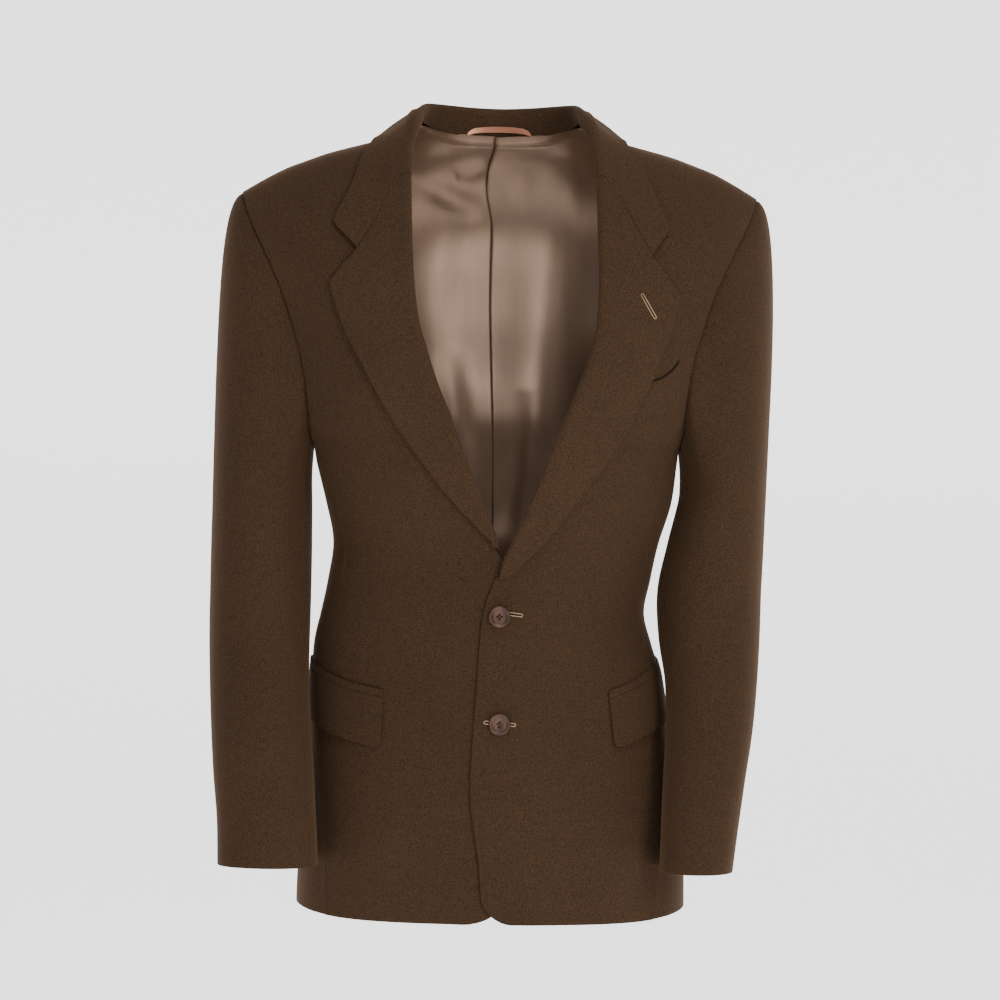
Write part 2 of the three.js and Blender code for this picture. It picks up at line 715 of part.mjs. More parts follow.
function cornerRise(side, angle, level) {
  const radius = side < 0 ? CORNER_RADIUS_RIGHT : CORNER_RADIUS_LEFT;
  const x = bodyPoint(angle, level).x;
  const fromEdge = side * (x - frontEdgeX(side, level));
  const inside = clamp(radius - fromEdge, 0, radius);
  return radius - Math.sqrt(radius * radius - inside * inside);
}

function makeFront(side, name) {
  const grid = panel({
    inner: (z) => angleAt(frontEdgeX(side, z), z),
    outer: (z) => side * frontOuterEdge(z),
    topAt: shoulderHeight,
    fractions: FRONT_FRACTIONS,
    rise: (angle, level) => hemRise(angle) + cornerRise(side, angle, level),
    lift: (x) => overlapLift(side, x),
    startGap: 0,
    endGap: GAP / 2,
  });
  addCloth(name, grid.outer, offsetGrid(grid.outer, grid.normals, -WOOL));
}

function backTop(x) {
  return x < NECK_SIDE_X ? backNeck(x) : shoulderHeight(x);
}

// Just short of half a turn, so that the edge keeps to its own side of the centre
const CENTRE_BACK = Math.PI - 0.000001;

function makeBack(side, name) {
  const grid = panel({
    inner: () => side * CENTRE_BACK,
    outer: (z) => side * backOuterEdge(z),
    topAt: backTop,
    fractions: BACK_FRACTIONS,
    rise: hemRise,
    lift: () => 0,
    startGap: GAP / 2,
    endGap: GAP / 2,
  });
  addCloth(name, grid.outer, offsetGrid(grid.outer, grid.normals, -WOOL));
  return grid;
}

function makeSide(side, name) {
  const outer = SIDE_ROWS.map(() => []);
  const normals = SIDE_ROWS.map(() => []);
  SIDE_FRACTIONS.forEach((fraction) => {
    const angleOf = (z) => lerp(frontSideSeam(z), backSideSeam(z), fraction);
    let low = ARMPIT_Z;
    let high = -255;
    for (let k = 0; k < 30; k += 1) {
      const z = (low + high) / 2;
      const angle = angleOf(z);
      const inHole = angle > radians(armholeFront(z)) && angle < radians(armholeBack(z));
      if (inHole) high = z; else low = z;
    }
    const top = low - GAP / 2;
    const trim = (0.5 - fraction) * SIDE_TRIM;
    SIDE_ROWS.forEach((rowHeight, i) => {
      const level = rowHeight(top);
      const z = withHem(level, hemRise(angleOf(level)));
      const angle = side * (angleOf(level) + trim);
      outer[i].push(bodyPoint(angle, z));
      normals[i].push(bodyNormal(angle, z));
    });
  });
  addCloth(name, outer, offsetGrid(outer, normals, -WOOL));
}

makeFront(1, 'front_left');
makeFront(-1, 'front_right');
const backLeft = makeBack(1, 'back_left');
const backRight = makeBack(-1, 'back_right');
makeSide(1, 'side_left');
makeSide(-1, 'side_right');

// Sleeves

// The armhole as a closed run of points: down the front from the top, then up the back
function armholeRun(side, edge) {
  const angleAtHeight = (z) => side * radians(edge(z));
  let top = -42;
  for (let k = 0; k < 12; k += 1) {
    top = shoulderHeight(Math.abs(bodyPoint(angleAtHeight(top), top).x));
  }
  const points = [];
  const steps = 200;
  for (let k = 0; k <= steps; k += 1) {
    const z = lerp(top - 0.01, ARMPIT_Z, (1 - Math.cos((k / steps) * Math.PI)) / 2);
    points.push(bodyPoint(angleAtHeight(z), z));
  }
  const run = [0];
  for (let k = 1; k <= steps; k += 1) run.push(run[k - 1] + points[k].distanceTo(points[k - 1]));
  return (fraction) => {
    const want = fraction * run[steps];
    let k = 1;
    while (k < steps && run[k] < want) k += 1;
    const t = (want - run[k - 1]) / (run[k] - run[k - 1]);
    return points[k - 1].clone().lerp(points[k], clamp(t, 0, 1));
  };
}

function makeSleeve(side, rows, topName, underName) {
  const inner = curve(rows, 'z', 'inner');
  const outer = curve(rows, 'z', 'outer');
  const centre = curve(rows, 'z', 'centre');
  const depth = curve(rows, 'z', 'depth');
  const frontRun = armholeRun(side, armholeFront);
  const backRun = armholeRun(side, armholeBack);

  const armPoint = (u) => {
    const turn = ((u % 1) + 1) % 1;
    const point = turn <= 0.5 ? frontRun(turn * 2) : backRun(2 - turn * 2);
    point.x += side * SLEEVE_GAP;
    return point;
  };
  const ring = (u, z) => {
    const angle = u * Math.PI * 2;
    const across = Math.sign(Math.cos(angle)) * Math.abs(Math.cos(angle)) ** (2 / SLEEVE_POWER);
    const along = Math.sign(Math.sin(angle)) * Math.abs(Math.sin(angle)) ** (2 / SLEEVE_POWER);
    const middle = (outer(z) + inner(z)) / 2;
    const half = (outer(z) - inner(z)) / 2;
    return new THREE.Vector3(side * (middle + half * across), centre(z) - depth(z) * along, z);
  };
  // v runs from the armhole to the upper arm, 0 to 1, then down to the cuff, 1 to 2
  const place = (u, v) => {
    if (v >= 1) return ring(u, lerp(SLEEVE_CAP_Z, CUFF_Z, v - 1));
    const low = (1 - Math.cos(u * Math.PI * 2)) / 2;
    const start = armPoint(u);
    const end = ring(u, SLEEVE_CAP_Z);
    const droop = radians(lerp(CAP_DROOP_TOP, CAP_DROOP_BOTTOM, low));
    const leave = new THREE.Vector3(side * Math.cos(droop), 0, -Math.sin(droop));
    const arrive = ring(u, SLEEVE_CAP_Z + 6).sub(end).normalize();
    const first = start.clone().addScaledVector(leave, lerp(CAP_SWELL_TOP, CAP_SWELL_BOTTOM, low));
    const second = end.clone().addScaledVector(arrive, start.distanceTo(end) * CAP_DRAW);
    const w = 1 - v;
    return start.multiplyScalar(w * w * w).addScaledVector(first, 3 * w * w * v)
      .addScaledVector(second, 3 * w * v * v).addScaledVector(end, v * v * v);
  };
  const build = (columns, name) => {
    const last = columns.length - 1;
    const outerGrid = [];
    const innerGrid = [];
    SLEEVE_ROWS.forEach((v) => {
      const outerRow = [];
      const innerRow = [];
      for (let k = 0; k <= last; k += 1) {
        const u = columns[k] + (0.5 - k / last) * SLEEVE_TRIM;
        const point = place(u, v);
        const around = place(u + 0.004, v).sub(place(u - 0.004, v));
        const lowV = Math.max(v - 0.004, 0);
        const highV = Math.min(v + 0.004, 2);
        const down = place(u, highV).sub(place(u, lowV));
        const normal = around.cross(down).normalize().multiplyScalar(side);
        outerRow.push(point);
        innerRow.push(point.clone().addScaledVector(normal, -WOOL));
      }
      outerGrid.push(outerRow);
      innerGrid.push(innerRow);
    });
    addCloth(name, outerGrid, innerGrid);
  };
  build(TOP_SLEEVE_COLUMNS, topName);
  build(UNDER_SLEEVE_COLUMNS, underName);
}

makeSleeve(-1, SLEEVE_RIGHT, 'top_sleeve_right', 'under_sleeve_right');
makeSleeve(1, SLEEVE_LEFT, 'top_sleeve_left', 'under_sleeve_left');

// Lapels and collar: each row runs from the root under the fold, round it, to the outer edge

function alongLine(points) {
  const run = [0];
  for (let k = 1; k < points.length; k += 1) {
    run.push(run[k - 1] + Math.hypot(points[k].x - points[k - 1].x, points[k].z - points[k - 1].z));
  }
  return (fraction) => {
    const want = fraction * run[run.length - 1];
    let k = 1;
    while (k < points.length - 1 && run[k] < want) k += 1;
    const t = (want - run[k - 1]) / (run[k] - run[k - 1]);
    return {
      x: lerp(points[k - 1].x, points[k].x, t),
      z: lerp(points[k - 1].z, points[k].z, t),
    };
  };
}

// A row that lies on a front panel; the line leads from the roll to the outer edge
function frontFoldRow(side, roll, across, line, height, inset) {
  const scale = inset / ROLL_INSET;
  const row = FOLD_PROFILE.map((step) => {
    const lift = step.up > 0 ? step.up * height / ROLL_HEIGHT : step.up;
    return onFront(side, roll.x + across.x * step.out * scale,
      roll.z + across.z * step.out * scale, lift);
  });
  const last = FOLD_PROFILE[FOLD_PROFILE.length - 1].out * scale;
  const start = line(0);
  const shiftX = roll.x + across.x * last - start.x;
  const shiftZ = roll.z + across.z * last - start.z;
  FALL_PARTS.forEach((part) => {
    const point = line(part);
    const keep = (1 - part) ** 2;
    const settle = 1 - (1 - part) ** 1.6;
    row.push(onFront(side, point.x + shiftX * keep, point.z + shiftZ * keep,
      lerp(height, OUTER_LIFT, settle)));
  });
  return row;
}

// The direction across the fold at one of its stations
function acrossFold(side, points, k) {
  const before = points[Math.max(k - 1, 0)];
  const after = points[Math.min(k + 1, points.length - 1)];
  const length = Math.hypot(after.x - before.x, after.z - before.z);
  const x = side * Math.abs(after.z - before.z) / length;
  return { x, z: -side * (after.x - before.x) / length };
}

// A folded wall; the rows before and after it are those of the piece it is sewn to
function foldedWall(name, grid, before, after) {
  const whole = gridNormals([...before, ...grid, ...after]);
  const normals = whole.slice(before.length, before.length + grid.length);
  addCloth(name, offsetGrid(grid, normals, FOLDED_WOOL / 2),
    offsetGrid(grid, normals, -FOLDED_WOOL / 2), WOOL_FOLD_COLOUR);
}

function rollPoint(side, z) {
  return { x: side < 0 ? edgeRight(z) : edgeLeft(z), z };
}

function lapelGrid(side, rows, gorge) {
  const rolls = rows.map((row) => rollPoint(side, row.rollZ));
  const top = rollPoint(side, gorge[0].z);
  rolls.push(top);
  const grid = rows.map((row, k) => {
    const line = alongLine([rolls[k], { x: row.outX, z: row.outZ }]);
    const height = lerp(LAPEL_END_HEIGHT, ROLL_HEIGHT, smooth(0, 4, k));
    return frontFoldRow(side, rolls[k], acrossFold(side, rolls, k), line, height,
      rollInset(row.rollZ));
  });
  grid.push(frontFoldRow(side, top, acrossFold(side, rolls, rows.length),
    alongLine(gorge), ROLL_HEIGHT, ROLL_INSET));
  return grid;
}

// A row that stands round the back of the neck and falls over the back
function backFoldRow(side, station) {
  const root = new THREE.Vector3(side * station.neckX, station.neckY, station.neckZ);
  const fold = new THREE.Vector3(side * station.foldX, station.foldY, station.foldZ);
  const ratio = station.outX / halfWidth(side, station.outZ);
  const angle = side * (Math.PI - Math.asin(ratio ** (sectionPower(station.outZ) / 2)));
  const normal = bodyNormal(angle, station.outZ);
  const out = bodyPoint(angle, station.outZ).addScaledVector(normal, OUTER_LIFT);
  const away = out.clone().sub(fold).setZ(0).normalize();
  const at = (part, bow) => root.clone().lerp(fold, part).addScaledVector(away, -bow);
  const row = [at(0, 0), at(0.33, 1.2), at(0.66, 1.6), at(0.9, 1)];
  row.push(fold.clone().addScaledVector(away, 1.6));
  const turn = fold.clone().addScaledVector(away, 5).setZ(fold.z - 2.4);
  row.push(turn);
  FALL_PARTS.forEach((part) => {
    const point = turn.clone().lerp(out, part);
    point.addScaledVector(away, COLLAR_BOW * 4 * part * (1 - part));
    row.push(point);
  });
  return row;
}

function collarFrontRows(side, stations, gorge) {
  const rolls = stations.map((row) => rollPoint(side, row.foldZ));
  const shifted = gorge.map((point) => ({
    x: point.x + side * GORGE_SHIFT, z: point.z + GORGE_SHIFT }));
  const start = rollPoint(side, shifted[0].z);
  const list = [frontFoldRow(side, start, acrossFold(side, rolls, 0), alongLine(shifted),
    ROLL_HEIGHT, ROLL_INSET)];
  stations.forEach((row, k) => {
    const line = alongLine([rolls[k], { x: row.outX, z: row.outZ }]);
    list.push(frontFoldRow(side, rolls[k], acrossFold(side, rolls, k), line, row.height,
      ROLL_INSET));
  });
  return list;
}

const lapelRightGrid = lapelGrid(-1, LAPEL_RIGHT, GORGE_RIGHT);
const lapelLeftGrid = lapelGrid(1, LAPEL_LEFT, GORGE_LEFT);
const collarRight = collarFrontRows(-1, COLLAR_FRONT_RIGHT, GORGE_RIGHT);
const collarLeft = collarFrontRows(1, COLLAR_FRONT_LEFT, GORGE_LEFT).reverse();
const collarGrid = [
  ...collarRight,
  ...COLLAR_BACK.map((row) => backFoldRow(-1, row)),
  ...COLLAR_BACK.slice(0, -1).reverse().map((row) => backFoldRow(1, row)),
  ...collarLeft,
];
foldedWall('lapel_right', lapelRightGrid, [], [collarRight[1]]);
foldedWall('lapel_left', lapelLeftGrid, [], [collarLeft[collarLeft.length - 2]]);
foldedWall('collar', collarGrid, [lapelRightGrid[lapelRightGrid.length - 2]],
  [lapelLeftGrid[lapelLeftGrid.length - 2]]);

// Pockets

// A patch on the body between two heights, with rounded lower corners
function pocketPatch(side, columns, heights, radius, lift, thick, flare) {
  const middle = (columns.length - 1) / 2;
  const topPoint = ({ angle, top }) => bodyPoint(side * angle, top);
  const first = topPoint(columns[0]);
  const end = topPoint(columns[columns.length - 1]);
  const layer = (raise) => heights.map((part) => columns.map((column, k) => {
    const here = topPoint(column);
    const reach = Math.min(here.distanceTo(first), here.distanceTo(end));
    const inside = clamp(radius - reach, 0, radius);
    const rise = radius - Math.sqrt(radius * radius - inside * inside);
    const z = column.top - part * (column.height - rise);
    const loose = flare * part * (1 - smooth(middle, middle * 1.6, k));
    const angle = side * column.angle;
    return bodyPoint(angle, z).addScaledVector(bodyNormal(angle, z), lift + loose + raise);
  }));
  return { outer: layer(thick), inner: layer(0) };
}

function makePocket(side, rows, flapName, weltName) {
  const top = curve(rows, 'angle', 'top');
  const from = rows[0].angle;
  const to = rows[rows.length - 1].angle;
  const columns = (raise, height) => POCKET_PARTS.map((part) => {
    const angle = lerp(from, to, part);
    return { angle: radians(angle), top: top(angle) + raise, height };
  });
  const flap = pocketPatch(side, columns(0, FLAP_HEIGHT), [0, 0.35, 0.7, 1], FLAP_CORNER,
    FLAP_LIFT, FLAP_THICK, FLAP_FLARE);
  addCloth(flapName, flap.outer, flap.inner);
  const welt = pocketPatch(side, columns(POCKET_WELT_HEIGHT + GAP, POCKET_WELT_HEIGHT), [0, 1],
    0.01, POCKET_WELT_LIFT, POCKET_WELT_THICK, 0);
  addCloth(weltName, welt.outer, welt.inner);
}

function makeBreastWelt() {
  const grid = (lift) => [0, 0.5, 1].map((down) => BREAST_WELT.map((station) => (
    onFront(1, lerp(station.topX, station.lowX, down), lerp(station.topZ, station.lowZ, down), lift))));
  addCloth('breast_welt', grid(BREAST_WELT_LIFT + BREAST_WELT_THICK), grid(BREAST_WELT_LIFT));
}

makePocket(-1, FLAP_RIGHT, 'pocket_flap_right', 'pocket_welt_right');
makePocket(1, FLAP_LEFT, 'pocket_flap_left', 'pocket_welt_left');
makeBreastWelt();

// Back lining, with the fold of its centre pleat on the wearer's left half

function backAngle(x, z) {
  return Math.PI - angleAt(x, z);
}

function makeLining(side, back, name) {
  const rows = back.outer.slice(LINING_HEM_ROW);
  const normals = back.normals.slice(LINING_HEM_ROW);
  const layer = (lift) => rows.map((row, i) => LINING_COLUMNS.map((column) => {
    if (column > 0) {
      const edge = column === LINING_COLUMNS[LINING_COLUMNS.length - 1];
      const point = row[column].clone().addScaledVector(normals[i][column], lift);
      if (edge) point.lerp(row[column - 1].clone().addScaledVector(normals[i][column - 1], lift), 0.1);
      return point;
    }
    const z = row[0].z;
    const x = pleatLine(z) + side * GAP / 2;
    const angle = backAngle(x, z);
    const fold = side > 0 ? PLEAT_DEPTH * smooth(60, -10, z) : 0;
    return bodyPoint(angle, z).addScaledVector(bodyNormal(angle, z), lift - fold);
  }));
  addCloth(name, layer(LINING_LIFT), layer(LINING_LIFT - LINING), SATIN_COLOUR, 0.35);
}

makeLining(1, backLeft, 'lining_back_left');
makeLining(-1, backRight, 'lining_back_right');

// Hanger loop

function makeLoop() {
  const top = curve(LOOP, 'x', 'top');
  const bottom = curve(LOOP, 'x', 'bottom');
  const end = LOOP[LOOP.length - 1].x;
  const layer = (shift) => [0, 1].map((down) => [-1, -0.9, -0.74, -0.4, 0, 0.4, 0.74, 0.9, 1]
    .map((part) => {
      const x = part * end;
      const y = LOOP_Y - LOOP_SAG * part * part + shift;
      return new THREE.Vector3(LOOP_CENTRE_X + x, y, lerp(top(Math.abs(x)), bottom(Math.abs(x)), down));
    }));
  addCloth('hanger_loop', layer(-LOOP_THICK), layer(0), LOOP_COLOUR, 0.5);
}

makeLoop();

// Buttons with four sewing holes

function toSolid(geometry) {
  const plain = geometry.clone();
  plain.deleteAttribute('normal');
  plain.deleteAttribute('uv');
  const merged = mergeVertices(plain, 1e-4);
  return new wasm.Manifold(new wasm.Mesh({
    numProp: 3,
    vertProperties: new Float32Array(merged.attributes.position.array),
    triVerts: new Uint32Array(merged.index.array),
  }));
}

function fromSolid(solid) {
  const mesh = solid.getMesh();
  const geometry = new THREE.BufferGeometry();
  geometry.setAttribute('position', new THREE.BufferAttribute(mesh.vertProperties, 3));
  geometry.setIndex(new THREE.BufferAttribute(mesh.triVerts, 1));
  geometry.computeVertexNormals();
  return geometry;
}

function makeButton({ name, x, z, turn }) {
  const profile = BUTTON_PROFILE.map(({ radius, height }) => new THREE.Vector2(radius, height));
  let solid = toSolid(new THREE.LatheGeometry(profile, BUTTON_SEGMENTS));
  for (let k = 0; k < 4; k += 1) {
    const angle = radians(turn + 45 + k * 90);
    const hole = new THREE.CylinderGeometry(HOLE_RADIUS, HOLE_RADIUS, 12, HOLE_SEGMENTS);
    hole.translate(Math.cos(angle) * HOLE_OFFSET, 0, Math.sin(angle) * HOLE_OFFSET);
    solid = solid.subtract(toSolid(hole));
  }
  const geometry = fromSolid(solid);
  const base = onFront(1, x, z, BUTTON_LIFT);
  const above = onFront(1, x, z, BUTTON_LIFT + 1);
  add(name, geometry, BUTTON_COLOUR, 0.4);
  const mesh = coat.children[coat.children.length - 1];
  mesh.position.copy(base);
  mesh.quaternion.setFromUnitVectors(new THREE.Vector3(0, 1, 0), above.sub(base).normalize());
}

BUTTONS.forEach(makeButton);

export default coat;
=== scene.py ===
# Dresses the solids of a men's tailored wool coat for the picture: soft cloth walls on
# the same surfaces, satin lining, buttons, sewing and buttonholes.
# Tables and sizes are in millimetres as in the part; scene units are metres.
# The front faces -Y, the wearer's left is +X, and +Z is up.
import math

import bpy
import numpy as np
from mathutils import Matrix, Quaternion, Vector


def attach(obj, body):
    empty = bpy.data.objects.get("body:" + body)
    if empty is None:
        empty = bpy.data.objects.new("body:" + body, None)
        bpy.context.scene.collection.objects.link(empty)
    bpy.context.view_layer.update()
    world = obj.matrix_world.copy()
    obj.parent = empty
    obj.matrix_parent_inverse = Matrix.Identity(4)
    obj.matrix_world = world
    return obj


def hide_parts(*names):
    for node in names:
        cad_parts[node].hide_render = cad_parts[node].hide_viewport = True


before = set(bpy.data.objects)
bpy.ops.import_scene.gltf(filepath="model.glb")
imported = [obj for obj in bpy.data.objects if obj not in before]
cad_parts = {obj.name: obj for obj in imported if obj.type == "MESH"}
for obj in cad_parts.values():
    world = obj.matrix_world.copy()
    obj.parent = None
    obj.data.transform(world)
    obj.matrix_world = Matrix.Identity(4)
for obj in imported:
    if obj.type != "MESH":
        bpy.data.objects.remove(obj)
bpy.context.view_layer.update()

MM = 0.001

# Cloth thicknesses and gaps
WOOL = 2.0
FOLDED_WOOL = 2.2
LINING = 1.0
GAP = 0.3
SEAM_CLOSE = 0.03

# Heights and general form of the body
HEM_Z = -721
HEM_FADE_FROM = 20
HEM_FADE_TO = 150
SIDE_HEM_RISE = 7
ARMPIT_Z = -280
ARMPIT_HIGHEST_Z = -255
CHEST_Z = -250
ROLL_START_Z = -392
ROLL_FULL_Z = -376
RIDGE_Y = 8
RIDGE_MARGIN = 0.05
SECTION_POWER = 2.4
SHOULDER_POWER = 3.4
SHOULDER_POWER_FROM = -190
SHOULDER_POWER_TO = -50
FRONT_LEAN = 1.9
BACK_LEAN = 2.4
NECK_SIDE_X = 78
UPPER_START_Z = -215
OVERLAP_LIFT = WOOL + 0.6
OVERLAP_FULL_X = 28
OVERLAP_END_X = 70
CORNER_RADIUS_LEFT = 30
CORNER_RADIUS_RIGHT = 42
ROLL_INSET = 5.5
ROLL_HEIGHT = 5.2
OUTER_LIFT = 3.1
FRONT_SEAM_HEM = 52
BACK_SEAM_HEM = 125
FRONT_SEAM_TOP = 66
BACK_SEAM_TOP = 112
FRONT_SEAM_TOP_Z = -258
BACK_SEAM_TOP_Z = -260
SEAM_TOP_Z = -240

# Sleeves
SLEEVE_POWER = 2.15
SLEEVE_CAP_Z = -330
CUFF_Z = -671
SLEEVE_GAP = 0.5
INSEAM = 0.415
ELBOW_SEAM = 0.68
SLEEVE_TRIM = 0.0011
SEAM_DEPTH = 3.4
SEAM_WIDTH = 4
SEAM_GROOVE = [1.7, 0.9, 0.2]
CAP_DROOP_TOP = 26
CAP_DROOP_BOTTOM = 90
CAP_SWELL_TOP = 27
CAP_SWELL_BOTTOM = 14
CAP_DRAW = 0.42

# Lapels and collar
FALL_PARTS = [0.18, 0.38, 0.6, 0.8, 1]
LAPEL_END_HEIGHT = 3.2
GORGE_SHIFT = 0.34
COLLAR_BOW = 3
FOLD_OUT = 1.6
TURN_OUT = 5
TURN_DROP = 2.4
# Part of the way up the stand, and how far it bows in there
STAND_BOWS = [(0, 0), (0.33, 1.2), (0.66, 1.6), (0.9, 1)]

# Pockets, lining, loop and buttons
FLAP_HEIGHT = 46
FLAP_CORNER = 9
FLAP_LIFT = 0.5
FLAP_THICK = 1.7
FLAP_FLARE = 0.8
POCKET_WELT_HEIGHT = 7
POCKET_WELT_LIFT = 0.55
POCKET_WELT_THICK = 1.6
POCKET_PARTS = [0, 0.012, 0.035, 0.075, 0.15, 0.28, 0.42, 0.57, 0.72, 0.86, 0.96, 1]
BREAST_WELT_LIFT = 0.5
BREAST_WELT_THICK = 1.2
# Place and size of the dark tube that paints the shade in the breast pocket's mouth
MOUTH_SHIFT_X = -0.4
MOUTH_SHIFT_Z = 0.7
MOUTH_LIFT = 0.15
MOUTH_RADIUS = 0.6
PLEAT_DEPTH = 3
PLEAT_END_Z = 60
PLEAT_FULL_Z = -10
LINING_LIFT = -2.9
LINING_HEM_ROW = 2
LINING_TOP_RISE = 0.4
LINING_NECK_RISE = 6
LINING_NECK_INWARD = 2.2
NECK_LINING_X = 66
NECK_LINING_END_X = 82
LINING_COLUMNS = [0, 2, 3, 4, 5, 6, 8, 10]
LOOP_CENTRE_X = -1.5
LOOP_Y = 62.6
LOOP_SAG = 4.6
LOOP_THICK = 1.3
BUTTON_LIFT = 0.45
HOLE_OFFSET = 2.0

# The coat's surfaces, in tables with a named column for each value

# z, right, left, front, back
SECTIONS = np.array([
    (-730, 184.5, 184.5, 131, 122),
    (-690, 183.5, 184, 130, 121),
    (-620, 180, 178, 127, 119),
    (-560, 175.5, 169.2, 123, 116),
    (-520, 173.5, 162.6, 120, 112),
    (-494, 172.4, 158, 117, 109),
    (-468, 170.5, 150, 115, 106),
    (-440, 164.5, 142.5, 113, 102),
    (-408, 158, 148, 112, 99),
    (-373, 153.5, 155.5, 114, 99),
    (-335, 161, 167, 119, 103),
    (-300, 170, 171.5, 126, 110),
    (-280, 174, 174, 129, 114),
    (-265, 184, 184, 131, 116),
    (-236, 198, 198, 133, 117),
    (-190, 213, 213, 133, 118),
    (-142, 226, 226, 133, 118),
    (-98, 240, 240, 133, 118),
    (-50, 252, 252, 133, 118),
    (60, 278, 278, 133, 118),
])

# x, z
SHOULDER_LINE = np.array([
    (0, 44),
    (60, 32.5),
    (78, 25),
    (100, 14.5),
    (115, 9),
    (131, 4.5),
    (160, -3),
    (181, -10.5),
    (201, -18),
    (216, -25.5),
    (230, -33.5),
    (244, -42),
    (262, -56),
    (300, -90),
])

# z, front, back
ARMHOLE = np.array([
    (-280, 90, 90),
    (-279, 85, 95),
    (-276.4, 80.5, 99.5),
    (-272.3, 76, 104),
    (-266.5, 71.5, 108.5),
    (-260, 67.5, 112),
    (-236, 60.9, 115.4),
    (-213, 58.3, 117),
    (-190, 57.9, 118.0),
    (-171, 58.3, 117.9),
    (-143, 58.5, 117.9),
    (-120, 59.4, 117.7),
    (-98, 61.5, 117.3),
    (-75, 66.0, 114.0),
    (-42, 70.3, 109.7),
    (-30, 71.6, 108.4),
])

# z, right, left
FRONT_LINE = np.array([
    (-730, 20, -8),
    (-690, 20, -11),
    (-660, 20.5, -15),
    (-630, 21, -18),
    (-600, 21.5, -19.4),
    (-565, 22, -18.4),
    (-540, 22, -16.7),
    (-500, 22, -14.4),
    (-463, 22, -12.2),
    (-445, 22, -10.6),
    (-428, 22, -8),
    (-415, 21, -2.8),
    (-398, 16, 4.5),
    (-383, 7, 10.5),
    (-364, 1, 18),
    (-350, -4.4, 24.2),
    (-336, -10, 31.2),
    (-314, -19, 38.9),
    (-254, -42, 63),
    (-234, -50, 71.2),
    (-215, -58, 78.5),
    (-200, -62.5, 84),
    (-180, -68.4, 88.4),
    (-157, -74.2, 91.4),
    (-125, -77.3, 92.1),
    (-97, -79, 90.8),
    (-60, -80.7, 89.8),
    (-34, -81.5, 89.6),
    (-5, -81, 86),
    (12, -77, 80),
    (25, -72.5, 72.5),
])

# x, z
BACK_NECK = np.array([
    (0, 17),
    (25, 17.5),
    (44, 18.7),
    (60, 21.5),
    (78, 25),
])

# roll_z, out_x, out_z
LAPEL_RIGHT = np.array([
    (-374, 6.5, -379.5),
    (-365, -3, -370.5),
    (-350, -12.6, -361),
    (-334, -32.1, -340.8),
    (-314, -50.6, -319.6),
    (-292, -72, -291),
    (-271, -93.4, -260.9),
    (-250, -106.6, -239.1),
    (-224, -122.9, -209.5),
    (-193, -139.4, -177.9),
    (-167, -146.1, -160.4),
    (-130, -150.6, -147),
    (-88, -153.1, -133.3),
    (-55, -142, -117),
])

# roll_z, out_x, out_z
LAPEL_LEFT = np.array([
    (-391, 4.5, -405),
    (-377, 14, -402),
    (-362, 34.1, -382.7),
    (-344, 53.9, -360.1),
    (-326, 70.8, -337.5),
    (-304, 88.7, -313.1),
    (-282, 107.1, -285.5),
    (-256, 124.5, -256),
    (-227, 141.6, -220.6),
    (-201.5, 149.7, -199.3),
    (-175, 156.9, -181.6),
    (-133, 163.2, -156),
    (-92, 165.6, -140.5),
    (-58, 153.5, -122.5),
])

# x, z
GORGE_RIGHT = np.array([
    (-81.5, -33.5),
    (-96, -43.5),
    (-103.2, -58),
    (-116.8, -83.3),
    (-130.2, -102),
])

# x, z
GORGE_LEFT = np.array([
    (89.6, -34),
    (103.5, -45),
    (112.5, -59),
    (127, -82.5),
    (141.2, -105.6),
])

# fold_z, height, out_x, out_z
COLLAR_FRONT_RIGHT = np.array([
    (-31, 5.2, -141.5, -89.5),
    (-26, 5.3, -151.8, -77.6),
    (-16, 5.6, -144.9, -58.8),
    (-7, 6.4, -137.5, -42.9),
    (2, 7.6, -132.2, -25),
    (9.5, 9.2, -127, -10),
    (16.5, 11, -121.6, 0),
    (22.5, 13, -118.4, 5.5),
])

# fold_z, height, out_x, out_z
COLLAR_FRONT_LEFT = np.array([
    (-31, 5.2, 148.5, -93.5),
    (-26, 5.3, 156.2, -81.4),
    (-16, 5.6, 149.8, -63),
    (-7, 6.4, 142, -45),
    (2, 7.6, 134.6, -26),
    (9.5, 9.2, 127, -10.5),
    (16.5, 11, 120, -0.5),
    (22.5, 13, 117.4, 5.5),
])

# neck_x, neck_y, neck_z, fold_x, fold_y, fold_z, out_x, out_z
COLLAR_BACK = np.array([
    (76, 8, 27.5, 75, 6, 40, 116, 8.4),
    (71, 28, 26, 70, 24, 45, 111, 7),
    (62, 43, 23.5, 62, 38, 46.5, 98, 4),
    (49, 54, 21, 48, 51, 46.8, 77, 2),
    (33, 61, 19.4, 32, 60, 46.4, 52, 0.8),
    (17, 65, 18.6, 16, 65, 46, 26, 0),
    (0, 66.5, 18.4, 0, 66.5, 45.8, 0, -0.5),
])

# z, inner, outer, centre, depth
SLEEVE_RIGHT = np.array([
    (-690, 158, 251, -99, 41.5),
    (-671, 158.5, 251.2, -96, 42),
    (-639, 160.8, 252.3, -90, 43.5),
    (-604, 163.5, 256.4, -81, 46),
    (-558, 167.5, 261, -66, 50),
    (-523, 171.5, 263.5, -52, 54),
    (-477, 173, 266.8, -33, 59),
    (-435, 172.8, 268.2, -17, 63),
    (-380, 173.5, 269, -5, 67),
    (-330, 174.5, 268.8, 2, 70),
    (-300, 177, 268, 4, 71),
])

